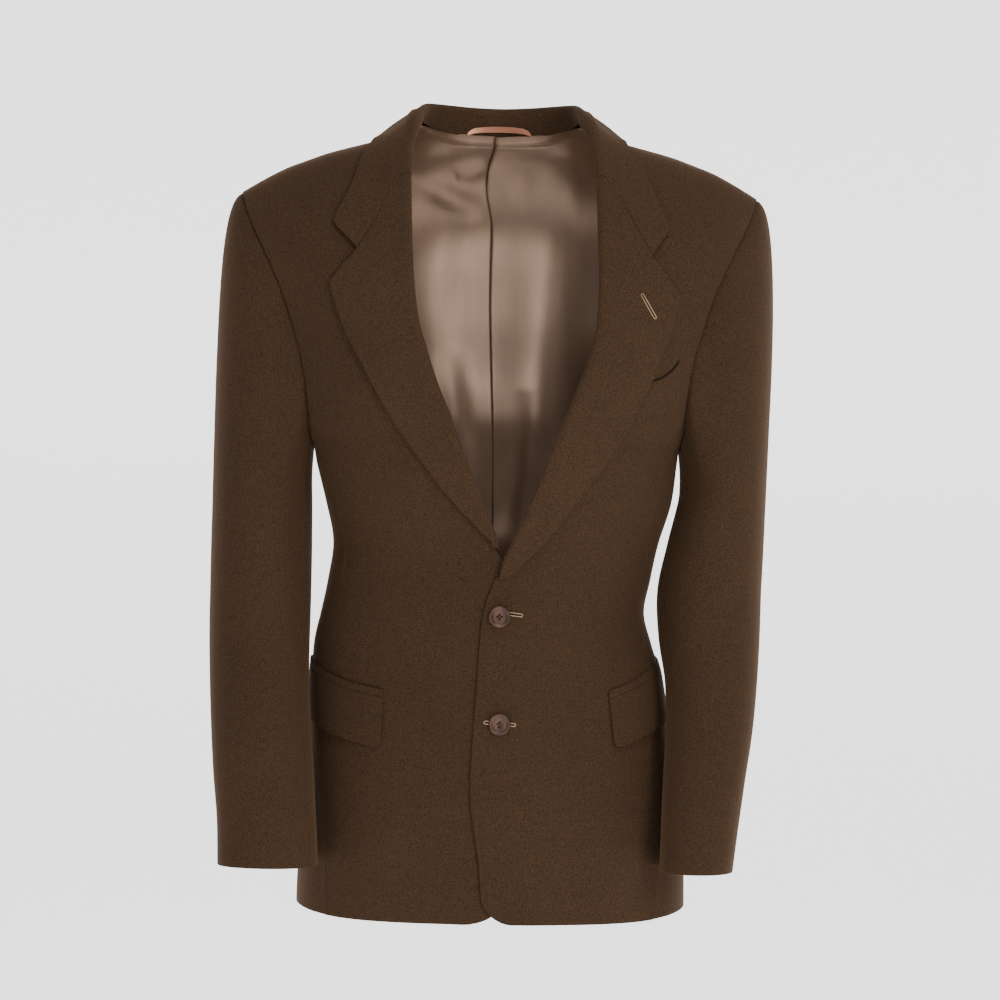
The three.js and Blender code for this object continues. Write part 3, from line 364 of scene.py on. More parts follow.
# z, inner, outer, centre, depth
SLEEVE_LEFT = np.array([
    (-690, 156, 221, -101, 45),
    (-671, 156, 223.2, -98, 45.5),
    (-650, 156.8, 226.3, -94, 46.5),
    (-615, 158, 230.8, -84, 48.5),
    (-587, 159.2, 235.4, -75, 50),
    (-551, 161.5, 241.6, -62, 52.5),
    (-518, 163, 246, -49, 55),
    (-464, 156, 250.4, -27, 61),
    (-435, 153.5, 251.8, -17, 64),
    (-407, 155, 252.8, -10, 66),
    (-376, 162.5, 254.4, -4, 68),
    (-330, 174, 256.4, 2, 71),
    (-300, 177, 257.5, 4, 72),
])

# out, up
FOLD_PROFILE = np.array([
    (3.75, -1.0),
    (2.7, -0.6),
    (1.5, 0.8),
    (1.2, 2.6),
    (2.3, 4.3),
    (5.0, 5.2),
])

# z, x
PLEAT_LINE = np.array([
    (-730, -2),
    (-308, -3),
    (-109, -8.6),
    (-77, -7.2),
    (-47, -8.5),
    (-38, -11),
    (-21, -14),
    (-6, -11.5),
    (10, -6),
    (30, -4.5),
])

# angle, top
FLAP_RIGHT = np.array([
    (31.5, -516.2),
    (47, -509.8),
    (60, -503),
    (70, -497.5),
    (92, -490),
])

# angle, top
FLAP_LEFT = np.array([
    (37.6, -515.3),
    (52, -505.7),
    (65.6, -497.4),
    (97, -487),
])

# top_x, top_z, low_x, low_z
BREAST_WELT = np.array([
    (142.8, -221.8, 125.7, -256.9),
    (147.4, -220.3, 133, -254.5),
    (152, -218.4, 141, -252),
    (157, -214.9, 149, -249.8),
    (161.7, -210.8, 156, -248),
    (165.4, -206.6, 162, -246),
    (168.5, -202.2, 166.8, -244),
])

# x, top, bottom
LOOP = np.array([
    (0, 28.9, 23.4),
    (12, 28.4, 22.9),
    (23, 27, 21.6),
    (28, 24.6, 20.2),
    (31, 21.2, 19),
])

# Buttons, buttonholes and soft folds, as seen from the front
# name, x, z, turn of the holes in degrees
BUTTONS = [
    ('button_upper', 5.3, -440, 20),
    ('button_lower', 6.7, -538.4, 42),
]
# name, x and z of one end, x and z of the other, lift off the front, half its width
BUTTONHOLES = [
    ('buttonhole_1', 9.5, -436.4, 25.0, -438.4, 0.35, 1.3),
    ('buttonhole_2', -6.2, -536.6, 19.9, -538.6, 0.35, 1.3),
    ('lapel_buttonhole', 131.4, -142.8, 143.0, -162.5, 4.35, 1.2),
]
STITCH_RADIUS = 0.5
STITCH_RISE = 0.18
# Size and depth of the dark tube that paints the shade in a buttonhole's opening
SLIT_RADIUS = 0.5
SLIT_DROP = 0.1
# The crossed threads of a button: height over its foot, step of the upper one, dip into the holes
THREAD_HEIGHT = 2.5
THREAD_STEP = 0.4
THREAD_DROP = 1.4
THREAD_RADIUS = 0.42

# Cloth as it is cut: narrowest side, ease on a measured length, angle of an edge that is rolled
CUT_EASE = 1.02
EDGE_ANGLE = 55
# A slow unevenness of every panel: height, then its waves
RIPPLE = 0.25
RIPPLE_ACROSS = (0.031, 0.011, 1.3)
RIPPLE_DOWN = (0.023, 0.017)

# Folds: x and z of one end, x and z of the other, width, depth
FRONT_LEFT_FOLDS = [
    (120, -330, 106, -500, 2.2, 0.55),
    (150, -330, 90, -470, 26, 1.2),
    (60, -600, 70, -700, 24, 0.9),
    (190, -150, 150, -120, 16, 0.8),
]
FRONT_RIGHT_FOLDS = [
    (-122, -360, -112, -505, 2.2, 0.55),
    (-150, -330, -90, -470, 26, 1.2),
    (-60, -600, -80, -700, 24, 0.9),
    (-190, -150, -150, -120, 16, 0.8),
]
BACK_FOLDS = [
    (-120, -350, 120, -380, 18, 0.9),
    (-150, -120, -120, -260, 16, 0.8),
    (150, -120, 120, -260, 16, 0.8),
]
SLEEVE_LEFT_FOLDS = [
    (200, -110, 205, -300, 13, 1.0),
    (236, -330, 180, -430, 18, 1.2),
    (240, -400, 175, -480, 16, 1.2),
    (225, -560, 170, -610, 14, 0.8),
]
SLEEVE_RIGHT_FOLDS = [
    (-200, -110, -205, -300, 13, 1.0),
    (-250, -330, -190, -430, 18, 1.2),
    (-250, -410, -185, -490, 16, 1.2),
    (-235, -560, -175, -610, 14, 0.8),
]
LINING_FOLDS = [
    (-86, -22, -18, -48, 11, 2.6),
    (-42, -18, -12, -8, 8, 1.5),
    (-130, -150, 136, -142, 78, 8.5),
    (-120, -335, 120, -335, 66, 5),
    (-126, 0, -112, -380, 36, 6),
    (122, 10, 112, -380, 38, 9),
    (-50, -190, -26, -330, 14, 1.8),
    (24, -230, 14, -370, 12, 1.6),
    (56, -300, 24, -410, 14, 1.6),
]

# Colours, as seen in daylight, 0 to 255
WOOL_DARK = (60, 43, 29)
WOOL_LIGHT = (88, 65, 45)
WOOL_RUST = (98, 67, 41)
WOOL_OLIVE = (68, 60, 43)
WOOL_SHEEN = (170, 130, 95)
WOOL_GAIN = 0.6
# Lapels and collar take a lighter copy of the same wool: painted light
FOLD_LIGHT_GAIN = 1.06
SATIN_COLOUR = (130, 102, 81)
LOOP_COLOUR = (176, 116, 88)
HORN_DARK = (50, 29, 20)
HORN_LIGHT = (88, 56, 42)
BUTTON_THREAD_COLOUR = (70, 48, 34)
PALE_THREAD_COLOUR = (158, 130, 102)
# Dark colour of the tubes that paint the shade in the buttonhole openings and the breast pocket's
# mouth
SLIT_SHADE_COLOUR = (24, 17, 12)

# Studio: place, target, size and power of each lamp
LIGHTS = [
    ('key', (1.9, -2.8, 1.0), (0, 0, -0.12), (1.1, 1.6), 60),
    ('fill', (-1.9, -2.6, 0.6), (0, 0, -0.12), (1.0, 1.6), 5),
    ('front', (0.12, -3.1, -0.55), (0, 0, -0.12), (0.6, 0.5), 12),
    ('top', (0.3, -0.6, 2.0), (0, 0, -0.2), (1.6, 1.0), 26),
]
WORLD_LIGHT = 0.32
FLOOR_Z = -1.3
FLOOR_FRONT_Y = -2.4
FLOOR_BACK_Y = 3.0
FLOOR_SIDE_X = 6
WALL_TOP_Z = 4.0
FLOOR_CURVE = 1.2
FLOOR_COLOUR = (0.9, 0.9, 0.9, 1)
FLOOR_GLOW = 1.45
CAMERA_PLACE = (0.0043, -3.2, -0.3325)
CAMERA_LENS = 121.25
CAMERA_ROLL = 0.8

# Seams and rows of the panels
BODY_LEVELS = [
    HEM_Z, -709, -690, -655, -605, -555, -515, -490, -465, -438, -408, -373, -335,
    -300, -277, -259, -238, UPPER_START_Z,
]
SIDE_SPLIT_Z = -300
UPPER_PARTS = [0.17, 0.34, 0.51, 0.67, 0.81, 0.91, 0.972, 1]
SIDE_UPPER_PARTS = [0.565, 1]
FRONT_FRACTIONS = [0, 0.012, 0.035, 0.075, 0.13, 0.21, 0.3, 0.4, 0.51, 0.62, 0.73, 0.83, 0.92, 1]
BACK_FRACTIONS = [0, 0.08, 0.17, 0.27, 0.37, 0.48, 0.59, 0.7, 0.8, 0.9, 1]
SIDE_FRACTIONS = [0, 0.16, 0.33, 0.5, 0.67, 0.84, 1]
SIDE_TRIM = 0.0006
SLEEVE_ROWS = [
    0, 0.05, 0.12, 0.21, 0.33, 0.48, 0.66, 0.84, 1,
    1.12, 1.25, 1.38, 1.5, 1.63, 1.76, 1.88, 2,
]
TOP_SLEEVE_COLUMNS = [
    ELBOW_SEAM - 1, -0.26, -0.2, -0.145, -0.1, -0.065, -0.038, -0.017, 0,
    0.017, 0.038, 0.065, 0.1, 0.145, 0.2, 0.25, 0.3, 0.355, INSEAM,
]
UNDER_SLEEVE_COLUMNS = [INSEAM, 0.46, 0.5, 0.54, 0.585, 0.63, ELBOW_SEAM]


def lerp(a, b, t):
    return a + (b - a) * t


def clamp(value, low, high):
    return max(low, min(high, value))


def smooth(low, high, value):
    t = clamp((value - low) / (high - low), 0, 1)
    return t * t * (3 - 2 * t)


def unit(vector):
    return vector / np.linalg.norm(vector)


# A smooth curve through a table's rows that never swings past them
def curve(rows, column, key=0):
    order = np.argsort(rows[:, key])
    at = rows[order, key].tolist()
    value = rows[order, column].tolist()
    last = len(at) - 1
    slope = [(value[i + 1] - value[i]) / (at[i + 1] - at[i]) for i in range(last)]
    tangent = [slope[0]]
    for i in range(1, last):
        both = slope[i - 1] * slope[i]
        tangent.append(0 if both <= 0 else 2 * both / (slope[i - 1] + slope[i]))
    tangent.append(slope[last - 1])

    def read(x):
        p = clamp(x, at[0], at[last])
        i = 0
        while i < last - 1 and p > at[i + 1]:
            i += 1
        span = at[i + 1] - at[i]
        t = (p - at[i]) / span
        a = value[i] + span * tangent[i] * t * (1 - t) * (1 - t)
        b = value[i + 1] - span * tangent[i + 1] * t * t * (1 - t)
        blend = t * t * (3 - 2 * t)
        return a * (1 - t) + b * t + (value[i + 1] - value[i]) * (blend - t)
    return read


half_right = curve(SECTIONS, 1)
half_left = curve(SECTIONS, 2)
front_depth = curve(SECTIONS, 3)
back_depth = curve(SECTIONS, 4)
shoulder_height = curve(SHOULDER_LINE, 1)
armhole_front = curve(ARMHOLE, 1)
armhole_back = curve(ARMHOLE, 2)
edge_right = curve(FRONT_LINE, 1)
edge_left = curve(FRONT_LINE, 2)
back_neck = curve(BACK_NECK, 1)
pleat_line = curve(PLEAT_LINE, 1)


# The body's outer surface

def half_width(side, z):
    return half_right(z) if side < 0 else half_left(z)


def section_power(z):
    return lerp(SECTION_POWER, SHOULDER_POWER, smooth(SHOULDER_POWER_FROM, SHOULDER_POWER_TO, z))


def body_point(angle, z):
    side = -1 if math.sin(angle) < 0 else 1
    power = section_power(z)
    across = abs(math.sin(angle)) ** (2 / power)
    along = abs(math.cos(angle)) ** (2 / power)
    is_front = math.cos(angle) > 0
    x = side * half_width(side, z) * across
    top = shoulder_height(abs(x))
    fall = clamp((top - z) / (top - CHEST_Z), 0, 1)
    lean = FRONT_LEAN if is_front else BACK_LEAN
    fullness = (1 - (1 - fall) ** lean) ** (1 / lean)
    depth = -front_depth(z) if is_front else back_depth(z)
    return np.array([x, RIDGE_Y + depth * along * fullness, z])


def body_normal(angle, z):
    turn = 0.003
    x = abs(body_point(angle, z)[0])
    up = min(z + 0.5, shoulder_height(x) - RIDGE_MARGIN)
    across = body_point(angle + turn, z) - body_point(angle - turn, z)
    along = body_point(angle, up) - body_point(angle, up - 1)
    return unit(np.cross(across, along))


def angle_at(x, z):
    side = -1 if x < 0 else 1
    ratio = clamp(abs(x) / half_width(side, z), 0, 1)
    return side * math.asin(ratio ** (section_power(z) / 2))


def overlap_lift(side, x):
    if side < 0:
        return 0
    return OVERLAP_LIFT * (1 - smooth(OVERLAP_FULL_X, OVERLAP_END_X, x))


# A point lifted off a front panel, from its place seen from the front
def on_front(side, x, z, lift):
    height = min(z, shoulder_height(abs(x)) - RIDGE_MARGIN)
    angle = angle_at(x, height)
    normal = body_normal(angle, height)
    return body_point(angle, height) + normal * (lift + overlap_lift(side, x))


# Lines and grids of points

# How far each point of a line lies along it
def run_to(points):
    return np.concatenate([[0], np.cumsum(np.linalg.norm(points[1:] - points[:-1], axis=1))])


def read_line(points, run, want):
    return np.array([np.interp(want, run, column) for column in points.T])


def grid_normals(grid):
    rows, columns = grid.shape[:2]
    up = grid[np.minimum(np.arange(rows) + 1, rows - 1)]
    down = grid[np.maximum(np.arange(rows) - 1, 0)]
    after = grid[:, np.minimum(np.arange(columns) + 1, columns - 1)]
    before = grid[:, np.maximum(np.arange(columns) - 1, 0)]
    normal = np.cross(after - before, up - down)
    return normal / np.linalg.norm(normal, axis=2, keepdims=True)


# A smooth curve through points laid along the first direction of an array
def refine_rows(values, steps):
    count = len(values)
    padded = np.concatenate([[2 * values[0] - values[1]], values, [2 * values[-1] - values[-2]]])
    length = np.linalg.norm(padded[1:] - padded[:-1], axis=-1)
    knot = np.maximum(np.mean(length.reshape(count + 1, -1), axis=1), 1e-6) ** 0.5
    result = []
    for i in range(1, count):
        a, b, c, d = padded[i - 1:i + 3]
        ab, bc, cd = knot[i - 1], knot[i], knot[i + 1]
        lead = (c - b) / bc - (c - a) / (ab + bc) + (b - a) / ab
        trail = (c - b) / bc - (d - b) / (bc + cd) + (d - c) / cd
        for k in range(steps):
            t = k / steps
            h1 = 2 * t ** 3 - 3 * t ** 2 + 1
            h2 = t ** 3 - 2 * t ** 2 + t
            h3 = -2 * t ** 3 + 3 * t ** 2
            h4 = t ** 3 - t ** 2
            result.append(b * h1 + lead * bc * h2 + c * h3 + trail * bc * h4)
    result.append(values[-1])
    return np.array(result)


def refine(grid, row_steps, column_steps):
    grid = refine_rows(np.asarray(grid, float), row_steps)
    return refine_rows(grid.transpose(1, 0, 2), column_steps).transpose(1, 0, 2)


# Panels of the body

PANEL_ROWS = [lambda top, level=level: level for level in BODY_LEVELS]
PANEL_ROWS += [lambda top, part=part: lerp(UPPER_START_Z, top, part) for part in UPPER_PARTS]


def hem_rise(angle):
    return SIDE_HEM_RISE * abs(math.sin(angle)) ** 6


def with_hem(z, rise):
    return z + rise * (1 - smooth(HEM_Z + HEM_FADE_FROM, HEM_Z + HEM_FADE_TO, z))


def spread(start, end, fractions, place, start_gap, end_gap):
    samples = 72
    run = run_to(np.array([place(lerp(start, end, k / samples))[0] for k in range(samples + 1)]))
    wanted = [lerp(start_gap, run[-1] - end_gap, fraction) for fraction in fractions]
    parts = np.interp(wanted, run, np.linspace(0, 1, samples + 1))
    return [place(lerp(start, end, part)) for part in parts]


def panel(inner, outer, top_at, fractions, rise, lift, start_gap, end_gap):
    points = []
    normals = []
    for number, row_height in enumerate(PANEL_ROWS):
        is_top = number == len(PANEL_ROWS) - 1

        def height_at(angle):
            z = row_height(0)
            for _ in range(8):
                z = row_height(top_at(abs(body_point(angle, z)[0])))
            return z

        def edge(line):
            angle = line(row_height(0))
            for _ in range(14):
                angle = line(height_at(angle))
            return angle

        def place(angle):
            level = height_at(angle)
            z = with_hem(level, rise(angle, level))
            point = body_point(angle, z)
            ridge = is_top and abs(point[0]) > NECK_SIDE_X - 1
            normal = body_normal(angle, z)
            if ridge:
                normal[1] = 0
                normal = unit(normal)
            point = point + normal * lift(point[0])
            if ridge:
                point[1] += -GAP / 2 if math.cos(angle) > 0 else GAP / 2
            return point, normal
        row = spread(edge(inner), edge(outer), fractions, place, start_gap, end_gap)
        points.append([item[0] for item in row])
        normals.append([item[1] for item in row])
    return np.array(points), np.array(normals)


def side_seam(z, top_z, at_hem, at_top):
    return math.radians(lerp(at_hem, at_top, clamp((z - HEM_Z) / (top_z - HEM_Z), 0, 1)))


def front_side_seam(z):
    return side_seam(z, FRONT_SEAM_TOP_Z, FRONT_SEAM_HEM, FRONT_SEAM_TOP)


def back_side_seam(z):
    return side_seam(z, BACK_SEAM_TOP_Z, BACK_SEAM_HEM, BACK_SEAM_TOP)


def front_outer_edge(z):
    hole = math.radians(armhole_front(z))
    return hole if z > SEAM_TOP_Z else min(front_side_seam(z), hole)


def back_outer_edge(z):
    hole = math.radians(armhole_back(z))
    return hole if z > SEAM_TOP_Z else max(back_side_seam(z), hole)


def roll_inset(z):
    return ROLL_INSET * smooth(ROLL_START_Z, ROLL_FULL_Z, z)


def front_edge_x(side, z):
    line = edge_right(z) if side < 0 else edge_left(z)
    return line + side * roll_inset(z)


def corner_rise(side, angle, level):
    radius = CORNER_RADIUS_RIGHT if side < 0 else CORNER_RADIUS_LEFT
    from_edge = side * (body_point(angle, level)[0] - front_edge_x(side, level))
    inside = clamp(radius - from_edge, 0, radius)
    return radius - math.sqrt(radius * radius - inside * inside)


def front_panel(side):
    return panel(
        inner=lambda z: angle_at(front_edge_x(side, z), z),
        outer=lambda z: side * front_outer_edge(z),
        top_at=shoulder_height,
        fractions=FRONT_FRACTIONS,
        rise=lambda angle, level: hem_rise(angle) + corner_rise(side, angle, level),
        lift=lambda x: overlap_lift(side, x),
        start_gap=0,
        end_gap=SEAM_CLOSE)


# Just short of half a turn, so that the edge keeps to its own side of the centre
CENTRE_BACK = math.pi - 0.000001


def back_panel(side):
    return panel(
        inner=lambda z: side * CENTRE_BACK,
        outer=lambda z: side * back_outer_edge(z),
        top_at=lambda x: back_neck(x) if x < NECK_SIDE_X else shoulder_height(x),
        fractions=BACK_FRACTIONS,
        rise=lambda angle, level: hem_rise(angle),
        lift=lambda x: 0,
        start_gap=SEAM_CLOSE,
        end_gap=SEAM_CLOSE)


def side_panel(side):
    rows = [lambda top, level=level: level for level in BODY_LEVELS if level <= SIDE_SPLIT_Z]
    rows += [lambda top, part=part: lerp(SIDE_SPLIT_Z, top, part) for part in SIDE_UPPER_PARTS]
    points = np.zeros((len(rows), len(SIDE_FRACTIONS), 3))
    normals = np.zeros_like(points)
    for column, fraction in enumerate(SIDE_FRACTIONS):
        def angle_of(z):
            return lerp(front_side_seam(z), back_side_seam(z), fraction)
        low, high = ARMPIT_Z, ARMPIT_HIGHEST_Z
        for _ in range(30):
            z = (low + high) / 2
            angle = math.degrees(angle_of(z))
            if armhole_front(z) < angle < armhole_back(z):
                high = z
            else:
                low = z
        trim = (0.5 - fraction) * SIDE_TRIM
        for i, row_height in enumerate(rows):
            level = row_height(low - GAP / 2)
            z = with_hem(level, hem_rise(angle_of(level)))
            angle = side * (angle_of(level) + trim)
            points[i, column] = body_point(angle, z)
            normals[i, column] = body_normal(angle, z)
    return points, normals


# Sleeves

def armhole_run(side, edge):
    top = -42
    for _ in range(12):
        top = shoulder_height(abs(body_point(side * math.radians(edge(top)), top)[0]))
    steps = 200
    points = []
    normals = []
    for k in range(steps + 1):
        z = lerp(top - 0.01, ARMPIT_Z, (1 - math.cos(k / steps * math.pi)) / 2)
        points.append(body_point(side * math.radians(edge(z)), z))
        normals.append(body_normal(side * math.radians(edge(z)), z))
    points = np.array(points)
    normals = np.array(normals)
    run = run_to(points)

    def read(fraction):
        want = fraction * run[-1]
        return read_line(points, run, want), unit(read_line(normals, run, want))
    return read


def signed_power(value, power):
    return math.copysign(abs(value) ** power, value)


def sleeve_grids(side, rows):
    inner, outer, centre, depth = (curve(rows, column) for column in (1, 2, 3, 4))
    front_run = armhole_run(side, armhole_front)
    back_run = armhole_run(side, armhole_back)

    def arm_point(u):
        turn = u % 1
        point, normal = front_run(turn * 2) if turn <= 0.5 else back_run(2 - turn * 2)
        point[0] += side * SLEEVE_GAP
        return point, normal

    def ring(u, z):
        angle = u * math.pi * 2
        across = signed_power(math.cos(angle), 2 / SLEEVE_POWER)
        along = signed_power(math.sin(angle), 2 / SLEEVE_POWER)
        middle = (outer(z) + inner(z)) / 2
        half = (outer(z) - inner(z)) / 2
        return np.array([side * (middle + half * across), centre(z) - depth(z) * along, z])

    def place(u, v):
        if v >= 1:
            return ring(u, lerp(SLEEVE_CAP_Z, CUFF_Z, v - 1))
        low = (1 - math.cos(u * math.pi * 2)) / 2
        start, _ = arm_point(u)
        end = ring(u, SLEEVE_CAP_Z)
        droop = math.radians(lerp(CAP_DROOP_TOP, CAP_DROOP_BOTTOM, low))
        leave = np.array([side * math.cos(droop), 0, -math.sin(droop)])
        arrive = unit(ring(u, SLEEVE_CAP_Z + 6) - end)
        first = start + leave * lerp(CAP_SWELL_TOP, CAP_SWELL_BOTTOM, low)
        second = end + arrive * np.linalg.norm(start - end) * CAP_DRAW
        w = 1 - v
        return start * w ** 3 + first * 3 * w * w * v + second * 3 * w * v * v + end * v ** 3

    grids = []
    for columns in (TOP_SLEEVE_COLUMNS, UNDER_SLEEVE_COLUMNS):
        last = len(columns) - 1
        points = np.zeros((len(SLEEVE_ROWS) + 1, last + 1, 3))
        normals = np.zeros_like(points)
        for i, v in enumerate(SLEEVE_ROWS, 1):
            for k, column in enumerate(columns):
                u = column + (0.5 - k / last) * SLEEVE_TRIM
                points[i, k] = place(u, v)
                around = place(u + 0.004, v) - place(u - 0.004, v)
                down = place(u, min(v + 0.004, 2)) - place(u, max(v - 0.004, 0))
                normals[i, k] = unit(np.cross(around, down)) * side
        for k, column in enumerate(columns):
            seam, inward = arm_point(column + (0.5 - k / last) * SLEEVE_TRIM)
            points[0, k] = seam - inward * SEAM_DEPTH - np.array([side * SEAM_WIDTH, 0, 0])
            normals[0, k] = normals[1, k]
            for row, sunk in enumerate(SEAM_GROOVE, 1):
                points[row, k] -= normals[row, k] * sunk
        grids.append((points, normals))
    return grids


# Lapels and collar: each row runs from the root under the fold, round it, to the outer edge

def along_line(points):
    points = np.array(points, float)
    run = run_to(points)
    return lambda part: read_line(points, run, part * run[-1])


def front_fold_row(side, roll, across, line, height, inset):
    scale = inset / ROLL_INSET
    row = []
    for out, up in FOLD_PROFILE:
        lift = up * height / ROLL_HEIGHT if up > 0 else up
        place = roll + across * out * scale
        row.append(on_front(side, place[0], place[1], lift))
    shift = roll + across * FOLD_PROFILE[-1][0] * scale - line(0)
    for part in FALL_PARTS:
        place = line(part) + shift * (1 - part) ** 2
        settle = 1 - (1 - part) ** 1.6
        row.append(on_front(side, place[0], place[1], lerp(height, OUTER_LIFT, settle)))
    return row


def across_fold(side, points, k):
    before = points[max(k - 1, 0)]
    after = points[min(k + 1, len(points) - 1)]
    step = unit(after - before)
    return np.array([side * abs(step[1]), -side * step[0]])


def roll_point(side, z):
    return np.array([edge_right(z) if side < 0 else edge_left(z), z])


def lapel_grid(side, rows, gorge):
    rolls = [roll_point(side, row[0]) for row in rows]
    top = roll_point(side, gorge[0][1])
    rolls.append(top)
    grid = []
    for k, (roll_z, out_x, out_z) in enumerate(rows):
        line = along_line([rolls[k], (out_x, out_z)])
        height = lerp(LAPEL_END_HEIGHT, ROLL_HEIGHT, smooth(0, 4, k))
        across = across_fold(side, rolls, k)
        grid.append(front_fold_row(side, rolls[k], across, line, height, roll_inset(roll_z)))
    across = across_fold(side, rolls, len(rows))
    grid.append(front_fold_row(side, top, across, along_line(gorge), ROLL_HEIGHT, ROLL_INSET))
    return grid


def back_fold_row(side, station):
    neck_x, neck_y, neck_z, fold_x, fold_y, fold_z, out_x, out_z = station
    root = np.array([side * neck_x, neck_y, neck_z])
    fold = np.array([side * fold_x, fold_y, fold_z])
    ratio = out_x / half_width(side, out_z)
    angle = side * (math.pi - math.asin(ratio ** (section_power(out_z) / 2)))
    out = body_point(angle, out_z) + body_normal(angle, out_z) * OUTER_LIFT
    away = out - fold
    away[2] = 0
    away = unit(away)
    row = [lerp(root, fold, part) - away * bow for part, bow in STAND_BOWS]
    turn = fold + away * TURN_OUT
    turn[2] -= TURN_DROP
    row += [fold + away * FOLD_OUT, turn]
    return row + [lerp(turn, out, part) + away * COLLAR_BOW * 4 * part * (1 - part)
                  for part in FALL_PARTS]


def collar_front_rows(side, stations, gorge):
    rolls = [roll_point(side, station[0]) for station in stations]
    shifted = gorge + np.array([side * GORGE_SHIFT, GORGE_SHIFT])
    start = roll_point(side, shifted[0][1])
    rows = [front_fold_row(side, start, across_fold(side, rolls, 0), along_line(shifted),
                           ROLL_HEIGHT, ROLL_INSET)]
    for k, (fold_z, height, out_x, out_z) in enumerate(stations):
        line = along_line([rolls[k], (out_x, out_z)])
        rows.append(front_fold_row(side, rolls[k], across_fold(side, rolls, k), line, height,
                                   ROLL_INSET))
    return rows


# Materials

def linear(red, green, blue):
    return [((value / 255 + 0.055) / 1.055) ** 2.4 for value in (red, green, blue)] + [1]


def new_material(name, values):
    material = bpy.data.materials.new(name)
    material.use_nodes = True
    tree = material.node_tree
    shader = tree.nodes['Principled BSDF']
    for key, value in values.items():
        shader.inputs[key].default_value = value
    return material, tree, shader


def noise(tree, scale, detail=2.0, stretch=(1, 1, 1)):
    place = tree.nodes.new('ShaderNodeTexCoord')
    mapping = tree.nodes.new('ShaderNodeMapping')
    mapping.inputs['Scale'].default_value = stretch
    texture = tree.nodes.new('ShaderNodeTexNoise')
    texture.inputs['Scale'].default_value = scale
    texture.inputs['Detail'].default_value = detail
    tree.links.new(place.outputs['Object'], mapping.inputs['Vector'])
    tree.links.new(mapping.outputs['Vector'], texture.inputs['Vector'])
    return texture.outputs['Fac']


def ramp(tree, value, stops):
    node = tree.nodes.new('ShaderNodeValToRGB')
    elements = node.color_ramp.elements
    while len(elements) < len(stops):
        elements.new(0.5)
    for element, (position, colour) in zip(elements, stops):
        element.position = position
        element.color = colour
    tree.links.new(value, node.inputs['Fac'])
    return node.outputs['Color']


def mixed(tree, factor, first, second, kind='MIX'):
    node = tree.nodes.new('ShaderNodeMix')
    node.data_type = 'RGBA'
    node.blend_type = kind
    if isinstance(factor, int):
        node.inputs['Factor'].default_value = factor
    else:
        tree.links.new(factor, node.inputs['Factor'])
    tree.links.new(first, node.inputs['A'])
    if isinstance(second, list):
        node.inputs['B'].default_value = second
    else:
        tree.links.new(second, node.inputs['B'])
    return node.outputs['Result']


def bump(tree, shader, height, strength, distance):
    node = tree.nodes.new('ShaderNodeBump')
    node.inputs['Strength'].default_value = strength
    node.inputs['Distance'].default_value = distance
    tree.links.new(height, node.inputs['Height'])
    tree.links.new(node.outputs['Normal'], shader.inputs['Normal'])


WHITE = [1, 1, 1, 1]
FIBRE = [0.6, 0.6, 0.6, 1]
WORN = [0.88, 0.88, 0.88, 1]
BLACK = [0, 0, 0, 1]


# Heathered wool: brown yarn with darker, rust and olive fibres and a brushed surface
def wool_material(name, gain):
    material, tree, shader = new_material(name, {
        'Roughness': 0.95, 'Specular IOR Level': 0.15, 'Sheen Weight': 0.25,
        'Sheen Roughness': 0.45, 'Sheen Tint': linear(*WOOL_SHEEN)})

    def tone(red, green, blue):
        return [value * gain for value in linear(red, green, blue)[:3]] + [1]
    yarn = ramp(tree, noise(tree, 800, 3), [(0.36, tone(*WOOL_DARK)), (0.64, tone(*WOOL_LIGHT))])
    rust = ramp(tree, noise(tree, 640, 2, (1, 1, 0.6)), [(0.54, BLACK), (0.72, FIBRE)])
    olive = ramp(tree, noise(tree, 560, 2, (0.6, 1, 1)), [(0.54, BLACK), (0.72, FIBRE)])
    colour = mixed(tree, rust, yarn, tone(*WOOL_RUST))
    colour = mixed(tree, olive, colour, tone(*WOOL_OLIVE))
    shade = ramp(tree, noise(tree, 9, 3), [(0.3, WORN), (0.7, WHITE)])
    colour = mixed(tree, 1, colour, shade, 'MULTIPLY')
    tree.links.new(colour, shader.inputs['Base Color'])
    bump(tree, shader, noise(tree, 700, 4), 0.35, 0.0008)
    return material


def satin_material(name, colour, roughness):
    material, tree, shader = new_material(name, {'Roughness': roughness, 'Metallic': 0.4})
    dark = [value * 0.8 for value in linear(*colour)[:3]] + [1]
    tone = ramp(tree, noise(tree, 60, 2, (1, 1, 0.2)), [(0.3, dark), (0.7, linear(*colour))])
    tree.links.new(tone, shader.inputs['Base Color'])
    bump(tree, shader, noise(tree, 900, 2, (1, 1, 0.15)), 0.08, 0.0003)
    return material


def horn_material():
    material, tree, shader = new_material('horn', {'Roughness': 0.35, 'Specular IOR Level': 0.3})
    tone = ramp(tree, noise(tree, 220, 3, (1, 1, 0.3)),
                [(0.35, linear(*HORN_DARK)), (0.65, linear(*HORN_LIGHT))])
    tree.links.new(tone, shader.inputs['Base Color'])
    return material


# Plain matt colour: for thread, and for the dark tubes that paint shade
def thread_and_shade_material(name, colour):
    return new_material(name, {
        'Base Color': linear(*colour), 'Roughness': 0.7, 'Specular IOR Level': 0.15})[0]


WOOL_CLOTH = wool_material('wool', WOOL_GAIN)
# A lighter copy of the same wool for the lapels and collar, painted light
WOOL_FOLD_LIT = wool_material('wool_fold', WOOL_GAIN * FOLD_LIGHT_GAIN)
SATIN = satin_material('satin', SATIN_COLOUR, 0.28)
LOOP_SATIN = satin_material('loop_tape', LOOP_COLOUR, 0.3)
HORN = horn_material()
THREAD = thread_and_shade_material('button_thread', BUTTON_THREAD_COLOUR)
PALE_THREAD = thread_and_shade_material('pale_thread', PALE_THREAD_COLOUR)
# Painted shade for the buttonhole openings and the breast pocket's mouth
SLIT_SHADE = thread_and_shade_material('slit_shade', SLIT_SHADE_COLOUR)


# Meshes

